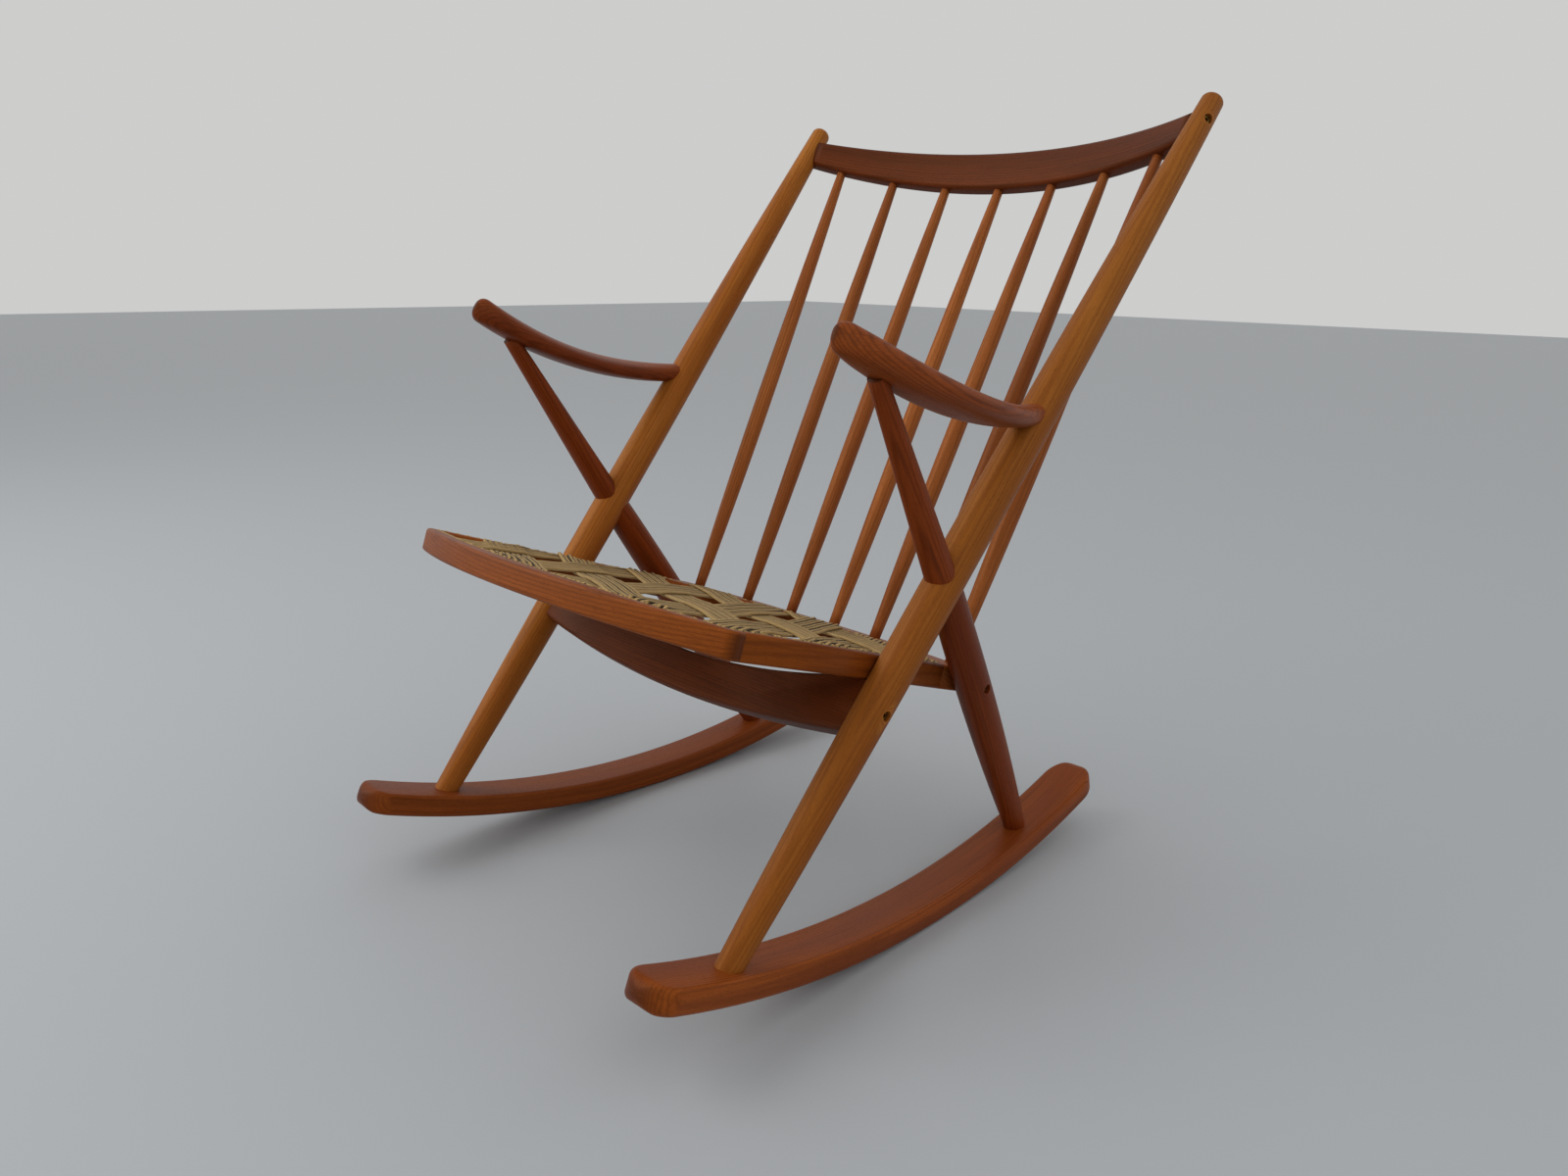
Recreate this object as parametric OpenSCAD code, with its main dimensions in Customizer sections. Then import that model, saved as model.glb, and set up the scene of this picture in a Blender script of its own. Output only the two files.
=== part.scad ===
// Spindle-back rocking chair in oiled teak with a strung cord seat.
// The chair faces -Y and rests on the floor at z = 0. +X is the sitter's left.
// Every piece is drawn with the rockers' circle lowest at the origin; place() then rolls
// the chair back to where it stands when empty, with its weight above the floor contact.

/* [Rockers] */
// Radius of the rockers' underside
rocker_radius = 1144; // [1000:1:1300]
// Width of a rocker seen from above
rocker_width = 60; // [50:1:66]
// Thickness of a rocker
rocker_thick = 27; // [24:0.5:30]
// Length of the rounded nose at each end of a rocker
rocker_nose = 26; // [16:1:34]
// Softened edge along a rocker
rocker_edge = 5; // [2:0.5:8]
// Sideways place of a rocker's middle
rocker_x = 249; // [240:1:256]
// How far the rockers turn in towards the back, degrees
rocker_toe = 2.3; // [0:0.1:3]
// Reach of a rocker in front of its circle's middle
rocker_front = 400; // [380:1:420]
// Reach of a rocker behind its circle's middle
rocker_back = 372; // [350:1:390]
// How far the empty chair rolls back on its rockers, degrees
rest_lean = 1.9; // [0:0.1:4]

/* [Front posts] */
// Foot of the left post on its rocker (x, y, z)
post_foot = [264.3, -285.8, 66];
// Centre of the left post's top (x, y, z)
post_top = [305.7, 376, 906.8];
// Thickest radius of a post
post_mid_r = 21; // [19:0.5:23]
// Radius of a post at its foot
post_foot_r = 14; // [12:0.5:16]
// Radius of a post at its top
post_top_r = 13; // [12:0.5:15]
// Part of the length at which a post is thickest
post_mid_at = 0.44; // [0.35:0.01:0.55]
// Height of the domed top
post_dome = 9; // [4:1:13]

/* [Arm supports and back legs] */
// Where support and leg meet the left post's axis (x, y, z)
cross_point = [280.8, -22.5, 400.7];
// Top of the left arm support, at the armrest's underside (x, y, z)
support_top = [297.8, -160.9, 609.8];
// Radius of an arm support at the post
support_low_r = 17; // [14:0.5:18]
// Radius of an arm support under the armrest
support_top_r = 8.5; // [7:0.5:12]
// Foot of the left back leg (x, y, z)
leg_foot = [239.8, 218.3, 41];
// Thickest radius of a back leg
leg_mid_r = 20; // [17:0.5:21]
// Radius of a back leg at the foot
leg_foot_r = 12.5; // [11:0.5:15]

/* [Armrests] */
// Straight inner edge of the left armrest
arm_inner_x = 277; // [272:0.5:284]
// Front tip of an armrest
arm_front_y = -214; // [-225:1:-195]
// Back end of an armrest, at the post
arm_back_y = 91; // [85:1:95]
// Height of an armrest's middle line at the post
arm_back_z = 567.5; // [560:0.5:575]
// Rise of an armrest from the post to the tip
arm_rise = 84.5; // [60:0.5:95]
// Half width at the post, halfway and at the tip
arm_half_widths = [14.5, 32, 15];
// Half thickness at the post, halfway and at the tip
arm_half_thicks = [11.5, 12.6, 15];
// Lift of the outer edge, degrees
arm_roll = 6.5; // [0:0.1:12]

/* [Crest rail and spindles] */
// Height of the crest rail's bolts above its underside, along its lean
crest_bolt_up = 30.3; // [26:0.1:34]
// Backward lean of the crest rail, degrees
crest_rake = 28; // [22:0.5:34]
// Radius of the crest rail's bend
crest_radius = 670; // [600:5:800]
// Height of the crest rail at its middle
crest_height = 54.5; // [48:0.5:62]
// Thickness of the crest rail
crest_thick = 22; // [18:0.5:24]
// Drop of the top edge at the ends
crest_crown = 10.5; // [6:0.5:14]
// Rise of the bottom edge at the ends
crest_arch = 7.3; // [4:0.5:12]
// Sideways places of the spindles' feet, from the middle outwards
spindle_foot_x = [0, 74, 146, 219.5];
// Sideways places of the spindles' tops, from the middle outwards
spindle_top_x = [0, 86, 170, 251.5];
// Thickest radius of a spindle
spindle_mid_r = 11; // [9:0.25:12]
// Radius of a spindle at the seat
spindle_foot_r = 6.75; // [6:0.25:8]
// Radius of a spindle at the crest rail
spindle_top_r = 6; // [5:0.25:7]

/* [Seat frame] */
// Height of the seat frame's top above the rockers' lowest point
seat_height = 305.4; // [295:0.1:315]
// Backward tilt of the seat, degrees
seat_tilt = 17.2; // [15:0.1:19]
// Height of the four seat rails
rail_height = 27; // [24:0.5:30]
// Half width of the seat frame above the rockers' middle
seat_half = 253.6; // [252:0.1:255]
// Narrowing of each side per millimetre towards the back
seat_taper = 0.0555; // [0.04:0.0005:0.07]
// Thickness of the side rails
side_rail_thick = 22; // [18:0.5:24]
// Front rail's outer edge at the middle, along the seat
front_out = -368; // [-375:0.5:-360]
// Radius of the front rail's outer edge
front_out_r = 677; // [600:1:760]
// Front rail's inner edge at the middle, along the seat
front_in = -334; // [-338:0.5:-330]
// Radius of the front rail's inner edge
front_in_r = 820; // [760:1:900]
// Rounding of the front corners
corner_r = 13; // [8:1:22]
// Back rail's inner edge at the middle, along the seat
back_in = 96; // [92:0.5:100]
// Radius of the back rail's inner edge
back_in_r = 430; // [410:1:460]
// Back rail's outer edge at the middle, along the seat
back_out = 144; // [140:0.5:148]
// Radius of the back rail's outer edge
back_out_r = 604; // [560:1:660]
// Distance from the back rail's outer edge to the spindles
spindle_inset = 14; // [12:0.5:18]
// Distance from the middle of a front corner's round back to the side rail's joint
front_joint_behind = 7; // [5:0.5:12]
// Joint line of the side rails and the back rail, along the seat
back_joint = 31; // [26:0.5:36]

/* [Front cross rail] */
// Thickness of the cross rail
apron_thick = 24; // [20:0.5:26]
// Top edge below the bolts at the middle
apron_top_mid = -8; // [-14:0.5:-4]
// Bottom edge below the bolts at the middle
apron_low_mid = -54; // [-60:0.5:-48]
// Radius of the hollow top edge
apron_top_r = 802; // [760:1:900]
// Radius of the round bottom edge
apron_low_r = 1469; // [1300:1:1700]

/* [Cord seat] */
// Thickness of the strung cord
cord_thick = 5; // [4:0.5:6]
// Width of a band of nine cords
band_w = 54; // [45:1:60]
// Distance of the cord's groove from a rail's inner edge
groove_in = 10; // [8:0.5:12]
// Width of the groove
groove_w = 5; // [4:0.5:6]
// Depth of the groove
groove_deep = 4; // [3:0.5:6]

/* [Bolts] */
// Length of a bolt's shank in the cross rail and the seat frame
frame_bolt = 55; // [45:1:60]
// Length of a bolt's shank in the crest rail
crest_bolt_length = 48; // [35:1:50]
// Cross rail's bolts, distance below the seat frame's top
apron_bolt_drop = 54.9; // [50:0.1:60]
// Back legs' bolts, distance below the seat frame's top
seat_bolt_drop = 14.2; // [12:0.1:16]
// Radius of a bolt's head
bolt_head_r = 4.7; // [4:0.1:5]
// Radius of a bolt's shank
bolt_r = 3; // [2.5:0.1:3.5]
// Radius of the open counterbores
counterbore_r = 5.5; // [5.2:0.1:6.5]
// Depth at which a bolt's head sits below the wood's outer face
counterbore_deep = 8; // [5:0.5:10]

/* [View] */
// The sub-part to draw

/* [Hidden] */
$fn = 48;
// Floor contact of the rockers, from the middle of the chair's length
rest_y = 0.1;
// Gap between the cord and the wood
cord_gap = 0.3;
tenon_r = 8;
rocker_tenon = 20;
spindle_tenon = 20;
big = 2000;
// The seat's back edge curves run at a constant bend, so spindle feet follow one circle
spindle_r = back_out_r - spindle_inset;
spindle_mid_v = back_out - spindle_inset;
// Lean of the posts seen from the side
post_lean = atan((post_top[1] - post_foot[1]) / (post_top[2] - post_foot[2]));
// Where a back leg is thickest, from its top
leg_mid_at = 0.34;
// Bolt points on the left side
apron_part = part_below(post_foot, post_top, apron_bolt_drop);
crest_part = 0.9725;
seat_part = part_below(cross_point, leg_foot, seat_bolt_drop);
apron_bolt = post_at(apron_part);
crest_bolt = post_at(crest_part);
seat_bolt = leg_at(seat_part);
// Radius of the turned part at each bolt
apron_bolt_r = swell(apron_part, post_foot_r, post_mid_r, post_top_r, post_mid_at);
crest_bolt_r = swell(crest_part, post_foot_r, post_mid_r, post_top_r, post_mid_at);
seat_bolt_r = swell(seat_part, leg_mid_r - 2, leg_mid_r, leg_foot_r, leg_mid_at);
// The crest rail's mid line passes the posts at its bolts, which follow its bend there
crest_turn = asin(crest_bolt[0] / crest_radius);
crest_mid = [0, crest_bolt[1], crest_bolt[2]]
    - from_crest(0, -sag(crest_bolt[0], crest_radius), crest_bolt_up);
// Half length of the crest rail, and half the span over which its edges curve
crest_end = crest_bolt[0] - 8.5;
crest_span = crest_bolt[0] - 12.5;
// Centre of the front corner's round, between the side line and the front arc
corner_first = corner_v(front_out);
corner_mid = corner_v(corner_first);
front_joint = corner_mid + front_joint_behind;

// Point on the left post's axis and on the left back leg's axis
function post_at(t) = post_foot + t * (post_top - post_foot);
function leg_at(t) = cross_point + t * (leg_foot - cross_point);

// Distance of a point above the seat frame's top, and where a line from a to b is d below it
function seat_rise(p) = p[1] * sin(seat_tilt) + (p[2] - seat_height) * cos(seat_tilt);
function part_below(a, b, d) = (-d - seat_rise(a)) / (seat_rise(b) - seat_rise(a));

// Vector given in the crest rail's own directions: across, back and up its lean
function from_crest(x, back, up) =
    [x, back * cos(crest_rake) + up * sin(crest_rake), -back * sin(crest_rake) + up * cos(crest_rake)];

// Place of the front corner's round along the seat, from a first guess
function corner_v(guess) =
    front_out + front_out_r - sqrt(pow(front_out_r - corner_r, 2) - pow(side_x(guess) - corner_r, 2));

// Radius of a turned bar that swells from r0 to rm and falls to r1
function swell(t, r0, rm, r1, at) =
    t < at ? rm - (rm - r0) * pow((at - t) / at, 2) : rm - (rm - r1) * pow((t - at) / (1 - at), 2);

// Points of an arc about a centre
function arc(cx, cy, r, a0, a1, n) =
    [for (i = [0:n]) [cx + r * cos(a0 + (a1 - a0) * i / n), cy + r * sin(a0 + (a1 - a0) * i / n)]];

// Outer side of the seat frame at a place along the seat
function side_x(v) = seat_half - seat_taper * v;

// Height reached along an arc that bends away from its middle by radius r
function sag(x, r) = r - sqrt(r * r - x * x);

// Puts a child's own Z axis on the line from a to b
module along(a, b) {
    d = b - a;
    translate(a)
        rotate([0, acos(d[2] / norm(d)), atan2(d[1], d[0])])
            children();
}

// Lays children on the chair; side is 1 for the sitter's left and -1 for the right
module place(side = 1) {
    translate([0, rest_y, rocker_radius])
        rotate([-rest_lean, 0, 0])
            translate([0, 0, -rocker_radius])
                mirror([side < 0 ? 1 : 0, 0, 0])
                    children();
}

// Seat frame's own plane: x across, y along the seat, z up from the rails' top
module seat_plane() {
    translate([0, 0, seat_height])
        rotate([-seat_tilt, 0, 0])
            children();
}

// Turned bar of a given length with a swelling, and a dome where asked for
module turned(len, r0, rm, r1, at, t0 = 0, dome = 0, n = 14) {
    body = [for (i = [0:n]) let (t = t0 + (1 - t0) * i / n) [swell(max(t, 0), r0, rm, r1, at), len * t]];
    cap = dome > 0 ? [for (i = [1:5]) [r1 * cos(15 * i), len + dome * sin(15 * i)]] : [];
    rotate_extrude()
        polygon(concat([[0, len * t0]], body, cap, [[0, len + max(dome, 0)]]));
}

// Rounded rectangle about the middle of its width, standing on its own base line
module soft_bar(w, h, r) {
    translate([-w / 2 + r, 0]) square([w - 2 * r, h]);
    translate([-w / 2, r]) square([w, h - 2 * r]);
    for (x = [-w / 2 + r, w / 2 - r])
        for (y = [r, h - r])
            translate([x, y]) circle(r);
}

// Side outline that rounds the two noses of a rocker; y along the chair, z up
function on_rocker(y, r) = rocker_radius - sqrt(r * r - y * y);
function nose(y, way, n) =
    let (r = rocker_thick / 2 + 0.2, mid_r = rocker_radius - rocker_thick / 2, a = asin(y / mid_r))
    [for (i = [0:n]) let (t = 180 * i / n, p = way * rocker_nose * sin(t), q = -way * r * cos(t))
        [y + p * cos(a) - q * sin(a), on_rocker(y, mid_r) + p * sin(a) + q * cos(a)]];
module nose_outline() {
    polygon(concat(
        nose(-rocker_front + rocker_nose, -1, 12),
        [[0, -60]],
        nose(rocker_back - rocker_nose, 1, 12),
        [[rocker_back / 2, 100], [-rocker_front / 2, 100]]));
}

// Bent rocker without its mortises
module rocker_blank() {
    a_front = asin(rocker_front / rocker_radius) + 1;
    a_back = asin(rocker_back / rocker_radius) + 1;
    half = rocker_width / 2 + 1;
    end_r = half * 0.8;
    translate([rocker_x, 0, 0])
        rotate([0, 0, rocker_toe])
            intersection() {
                translate([0, 0, rocker_radius])
                    rotate([0, 90, 0])
                        rotate([0, 0, -a_front])
                            rotate_extrude(angle = a_front + a_back, $fn = 360)
                                translate([rocker_radius, 0])
                                    rotate([0, 0, 90])
                                        soft_bar(rocker_width, rocker_thick, rocker_edge, $fn = 24);
                translate([0, 0, -10])
                    linear_extrude(200) {
                        translate([-half, -rocker_front + end_r])
                            square([2 * half, rocker_front + rocker_back - 2 * end_r]);
                        for (y = [-rocker_front + end_r, rocker_back - end_r])
                            for (x = [-1, 1])
                                translate([x * (half - end_r), y]) circle(end_r);
                        translate([-half + end_r, -rocker_front])
                            square([2 * (half - end_r), rocker_front + rocker_back]);
                    }
                rotate([90, 0, 90])
                    translate([0, 0, -half - 5])
                        linear_extrude(2 * half + 10)
                            nose_outline();
            }
}

// Straight pegs on the left side, used both as tenons and as mortises
module peg(p, towards, before, after, r) {
    d = (towards - p) / norm(towards - p);
    along(p - before * d, p + after * d) cylinder(h = before + after, r = r);
}
module post_peg() {
    peg(post_foot, 2 * post_foot - post_top, 10, rocker_tenon, tenon_r);
}
module leg_peg() {
    peg(leg_foot, 2 * leg_foot - cross_point, 25, 8, tenon_r);
}
module cross_peg(towards) {
    peg(cross_point, towards, -6, post_mid_r + 8, tenon_r);
}
module arm_peg() {
    peg(support_top, 2 * support_top - cross_point, 20, 13, 5.5);
}

// Left post without its mortises
module post_blank() {
    along(post_foot, post_top)
        turned(norm(post_top - post_foot), post_foot_r, post_mid_r, post_top_r, post_mid_at,
               t0 = -0.015, dome = post_dome, n = 18);
}

// Left back leg and arm support as turned, before coping
module leg_blank() {
    along(cross_point, leg_foot)
        turned(norm(leg_foot - cross_point), leg_mid_r - 2, leg_mid_r, leg_foot_r, leg_mid_at, n = 14);
}
module support_blank() {
    along(cross_point, support_top)
        cylinder(h = norm(support_top - cross_point) + 24, r1 = support_low_r, r2 = support_top_r);
}

// Bolt along X through a turned part of radius r about the origin: head, shank and the hole for both
module bolt(r, len) {
    rotate([0, 90, 0])
        translate([0, 0, r - counterbore_deep]) {
            translate([0, 0, -len]) cylinder(h = len + 0.5, r = bolt_r);
            difference() {
                cylinder(h = 4, r = bolt_head_r);
                translate([0, 0, 1.5]) cylinder(h = 4, r = 2.3, $fn = 6);
            }
        }
}
module bolt_hole(r, len) {
    rotate([0, 90, 0])
        translate([0, 0, r - counterbore_deep]) {
            translate([0, 0, -len]) cylinder(h = len + 1, r = bolt_r);
            cylinder(h = 40, r = counterbore_r);
        }
}

// Places of the bolts on the left; the crest rail's follow the rail's bend
module at_apron_bolt() {
    translate(apron_bolt) children();
}
module at_crest_bolt() {
    translate(crest_bolt) rotate([-crest_rake, 0, 0]) rotate([0, 0, -crest_turn]) children();
}
module at_seat_bolt() {
    translate(seat_bolt) children();
}

module rocker(side) {
    color("#6e3a22")
        place(side)
            difference() {
                rocker_blank();
                post_peg();
                leg_peg();
            }
}

module front_post(side) {
    color("#8a4a20")
        place(side)
            difference() {
                union() {
                    difference() {
                        post_blank();
                        rocker_blank();
                    }
                    post_peg();
                }
                cross_peg(support_top);
                cross_peg(leg_foot);
                arm_post_peg();
                at_apron_bolt() bolt_hole(apron_bolt_r, frame_bolt + 5);
                at_crest_bolt() bolt_hole(crest_bolt_r, crest_bolt_length + 5);
            }
}

module back_leg(side) {
    color("#4d2014")
        place(side)
            difference() {
                union() {
                    difference() {
                        leg_blank();
                        post_blank();
                        rocker_blank();
                    }
                    cross_peg(leg_foot);
                    leg_peg();
                }
                at_seat_bolt() bolt_hole(seat_bolt_r, frame_bolt + 5);
            }
}

module arm_support(side) {
    color("#4d2014")
        place(side) {
            difference() {
                support_blank();
                post_blank();
                armrest_blank();
            }
            cross_peg(support_top);
            arm_peg();
        }
}

// Armrest as a sweep: u runs from the post at 0 to the tip at 1
arm_steps = 30;
arm_ring = 24;
arm_start = -0.05;
function bow(p, u) = p[0] + (4 * p[1] - 3 * p[0] - p[2]) * u + 2 * (p[0] + p[2] - 2 * p[1]) * u * u;
function arm_u(i) = arm_start + (1 - arm_start) * sin(90 * i / arm_steps);
function arm_z(u) = arm_back_z + arm_rise * u * u;
function arm_slope(u) = 2 * arm_rise * u / (arm_front_y - arm_back_y);
function tip(u, len, p) = u < 1 - len ? 1 : sqrt(max(0.0004, 1 - pow((u - 1 + len) / len, p)));
function oval(a) = [sign(cos(a)) * pow(abs(cos(a)), 0.83), sign(sin(a)) * pow(abs(sin(a)), 0.83)];
function arm_section(u) =
    let (hw = bow(arm_half_widths, max(u, 0)), w = hw * tip(u, 0.14, 2.2),
         h = bow(arm_half_thicks, max(u, 0)) * tip(u, 0.045, 2.6),
         c = [arm_inner_x + hw, arm_back_y + u * (arm_front_y - arm_back_y), arm_z(max(u, 0))],
         s = arm_slope(max(u, 0)), up = [0, -s, 1] / norm([0, s, 1]), out = [1, 0, 0],
         wo = out * cos(arm_roll) + up * sin(arm_roll), uo = up * cos(arm_roll) - out * sin(arm_roll))
    [for (j = [0:arm_ring - 1]) let (o = oval(360 * j / arm_ring)) c + w * o[0] * wo + h * o[1] * uo];

module armrest_blank() {
    rings = [for (i = [0:arm_steps]) arm_section(arm_u(i))];
    points = [for (r = rings) for (p = r) p];
    last = arm_steps * arm_ring;
    sides = [for (i = [0:arm_steps - 1]) for (j = [0:arm_ring - 1])
        let (a = i * arm_ring + j, b = i * arm_ring + (j + 1) % arm_ring)
        [a, a + arm_ring, b + arm_ring, b]];
    polyhedron(points, concat(sides,
        [[for (j = [0:arm_ring - 1]) j]],
        [[for (j = [arm_ring - 1:-1:0]) last + j]]), convexity = 6);
}

// Round tenon that joins an armrest to the left post
module arm_post_peg() {
    p = [arm_inner_x + arm_half_widths[0], arm_back_y - 26, arm_back_z];
    translate(p) rotate([-90, 0, 0]) cylinder(h = 48, r = 7);
}

module armrest(side) {
    color("#5a2a18")
        place(side) {
            difference() {
                armrest_blank();
                post_blank();
                arm_peg();
            }
            arm_post_peg();
        }
}

// Crest rail's own plane: y back, z up along the lean
module crest_plane() {
    translate(crest_mid)
        rotate([-crest_rake, 0, 0])
            children();
}

module crest_blank() {
    half = crest_span + 8;
    crest_plane()
        intersection() {
            translate([0, -crest_radius, -20])
                difference() {
                    cylinder(h = 120, r = crest_radius + crest_thick / 2, $fn = 360);
                    translate([0, 0, -1]) cylinder(h = 122, r = crest_radius - crest_thick / 2, $fn = 360);
                }
            translate([0, 40, 0])
                rotate([90, 0, 0])
                    linear_extrude(180)
                        polygon(concat(
                            [for (i = [-12:12]) let (x = half * i / 12) [x, crest_arch * x * x / pow(crest_span, 2)]],
                            [for (i = [12:-1:-12]) let (x = half * i / 12)
                                [x, crest_height - crest_crown * x * x / pow(crest_span, 2)]]));
        }
}

// Spindle k counts outwards from the middle; its axis runs from seat to crest rail
function foot_point(k) =
    let (x = spindle_foot_x[k], v = spindle_mid_v - sag(x, spindle_r))
    [x, v * cos(seat_tilt), seat_height - v * sin(seat_tilt)];
function top_point(k) =
    let (x = spindle_top_x[k])
    crest_mid + from_crest(x, -sag(x, crest_radius), x * x * crest_arch / pow(crest_span, 2));

module spindle_pegs(k) {
    a = foot_point(k);
    b = top_point(k);
    along(a, a + (a - b)) cylinder(h = spindle_tenon, r = spindle_foot_r - 0.5);
    along(b, b + (b - a)) cylinder(h = spindle_tenon, r = spindle_top_r - 0.5);
}

module spindle_blank(k) {
    a = foot_point(k);
    b = top_point(k);
    len = norm(b - a);
    reach = 4 / len;
    along(a - reach * (b - a), b + reach * (b - a))
        turned(len * (1 + 2 * reach), spindle_foot_r, spindle_mid_r, spindle_top_r, 0.42, n = 12);
}

module spindle(k, side) {
    color("#6b3620")
        place(side) {
            difference() {
                spindle_blank(k);
                seat_plane() translate([-big / 2, -big / 2, -100]) cube([big, big, 100]);
                crest_blank();
            }
            spindle_pegs(k);
        }
}

module crest_rail() {
    color("#40200f")
        place()
            difference() {
                crest_blank();
                for (side = [0, 1])
                    mirror([side, 0, 0]) {
                        post_blank();
                        at_crest_bolt() bolt_hole(crest_bolt_r, crest_bolt_length + 5);
                        for (k = [0:3])
                            spindle_pegs(k);
                    }
                for (side = [0, 1])
                    mirror([side, 0, 0])
                        translate([crest_end, 0, 0]) cube([200, big, big]);
            }
}

// Solid plate under the seat's outline, in the seat's own plane
module seat_plate(low, high) {
    translate([0, 0, low])
        linear_extrude(high - low)
            children();
}

// Area that the cord covers, out to the middle of the groove when grow is 0
module cord_area(grow) {
    intersection() {
        translate([0, front_in + front_in_r]) circle(front_in_r + groove_in + grow, $fn = 360);
        translate([0, back_in - back_in_r]) circle(back_in_r + groove_in + grow, $fn = 360);
        polygon([for (p = [[1, -400], [1, 200], [-1, 200], [-1, -400]])
            [p[0] * (side_x(p[1]) - side_rail_thick + groove_in + grow), p[1]]]);
    }
}

// Groove that runs round the tops of the rails and holds the cord
module cord_groove() {
    seat_plate(-groove_deep, 1)
        difference() {
            cord_area(groove_w / 2);
            cord_area(-groove_w / 2);
        }
}

// Front rail's outline
module front_outline() {
    c_out = front_out + front_out_r;
    c_in = front_in + front_in_r;
    cv = corner_mid;
    cx = side_x(cv) - corner_r * sqrt(1 + seat_taper * seat_taper);
    a_front = atan2(cv - c_out, cx);
    a_side = atan(seat_taper);
    xi = side_x(front_joint) - side_rail_thick;
    a_in = asin(xi / front_in_r);
    right_half = concat(
        arc(0, c_out, front_out_r, -90, a_front, 16),
        arc(cx, cv, corner_r, a_front, a_side, 8),
        [[side_x(front_joint), front_joint], [xi, front_joint]]);
    left_half = [for (i = [len(right_half) - 1:-1:1]) [-right_half[i][0], right_half[i][1]]];
    polygon(concat(right_half, arc(0, c_in, front_in_r, -90 + a_in, -90 - a_in, 24), left_half));
}

// Back rail's outline
module back_outline() {
    c_out = back_out - back_out_r;
    c_in = back_in - back_in_r;
    xi = side_x(back_joint) - side_rail_thick;
    a_in = asin(xi / back_in_r);
    xo = side_x(back_out - sag(side_x(90), back_out_r));
    a_out = asin(xo / back_out_r);
    polygon(concat(
        arc(0, c_out, back_out_r, 90 - a_out, 90 + a_out, 32),
        [[-side_x(back_joint), back_joint], [-xi, back_joint]],
        arc(0, c_in, back_in_r, 90 + a_in, 90 - a_in, 32),
        [[xi, back_joint], [side_x(back_joint), back_joint]]));
}

// Side rail's outline on the left, and the tongues that enter the front and back rails
module side_outline() {
    polygon([[side_x(front_joint) - side_rail_thick, front_joint], [side_x(front_joint), front_joint],
             [side_x(back_joint), back_joint], [side_x(back_joint) - side_rail_thick, back_joint]]);
}
module side_tongues() {
    m = side_rail_thick / 2;
    translate([side_x(front_joint) - m - 5, front_joint - 13, -rail_height / 2 - 7]) cube([10, 14, 14]);
    translate([side_x(back_joint) - m - 5, back_joint - 1, -rail_height / 2 - 7]) cube([10, 26, 14]);
}

module seat_front_rail() {
    color("#6a351f")
        place()
            seat_plane()
                difference() {
                    seat_plate(-rail_height, 0) front_outline();
                    cord_groove();
                    for (side = [0, 1]) mirror([side, 0, 0]) side_tongues();
                }
}

module seat_back_rail() {
    color("#5c2c1a")
        place()
            difference() {
                seat_plane()
                    difference() {
                        seat_plate(-rail_height, 0) back_outline();
                        cord_groove();
                        for (side = [0, 1]) mirror([side, 0, 0]) side_tongues();
                    }
                for (side = [0, 1])
                    mirror([side, 0, 0]) {
                        leg_blank();
                        at_seat_bolt() bolt_hole(seat_bolt_r, frame_bolt + 5);
                        for (k = [0:3])
                            spindle_pegs(k);
                    }
            }
}

module seat_side_rail(side) {
    color("#6a351f")
        place(side)
            difference() {
                seat_plane() {
                    difference() {
                        seat_plate(-rail_height, 0) side_outline();
                        cord_groove();
                    }
                    side_tongues();
                }
                post_blank();
                leg_blank();
                at_seat_bolt() bolt_hole(seat_bolt_r, frame_bolt + 5);
            }
}

module front_cross_rail() {
    color("#3b1c12")
        place()
            difference() {
                translate([0, apron_bolt[1], apron_bolt[2]])
                    rotate([-post_lean, 0, 0])
                        translate([0, apron_thick / 2, 0])
                            rotate([90, 0, 0])
                                linear_extrude(apron_thick)
                                    difference() {
                                        intersection() {
                                            translate([0, apron_low_mid + apron_low_r]) circle(apron_low_r, $fn = 720);
                                            translate([-apron_bolt[0], apron_low_mid - 1]) square([2 * apron_bolt[0], 100]);
                                        }
                                        translate([0, apron_top_mid + apron_top_r]) circle(apron_top_r, $fn = 720);
                                    }
                seat_plane() translate([-big / 2, -big / 2, -rail_height]) cube([big, big, 100]);
                for (side = [0, 1])
                    mirror([side, 0, 0]) {
                        post_blank();
                        at_apron_bolt() bolt_hole(apron_bolt_r, frame_bolt + 5);
                    }
                translate([apron_bolt[0] - 8, -big / 2, 0]) cube([200, big, big]);
                translate([-200 - apron_bolt[0] + 8, -big / 2, 0]) cube([200, big, big]);
            }
}

// Flat band of cords from one point of the seat to another
module band(a, b) {
    d = b - a;
    translate(a)
        rotate([0, 0, atan2(d[1], d[0])])
            translate([-60, -band_w / 2])
                square([norm(d) + 120, band_w]);
}

// Two sets of bands that slant across the seat and cross each other
module long_bands() {
    band([-150, -321], [-236, -172]);
    band([-45, -333], [-232, -15]);
    band([60, -331], [-165, 62]);
    band([165, -316], [-72, 90]);
    band([238, -278], [12, 96]);
    band([237, -136], [105, 84]);
    band([235, 0], [195, 60]);
}
module cross_bands() {
    band([-40, -333], [-236, -225]);
    band([142, -322], [-232, -117]);
    band([236, -255], [-232, -7]);
    band([236, -145], [-220, 90]);
    band([234, -40], [0, 92]);
}

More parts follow.
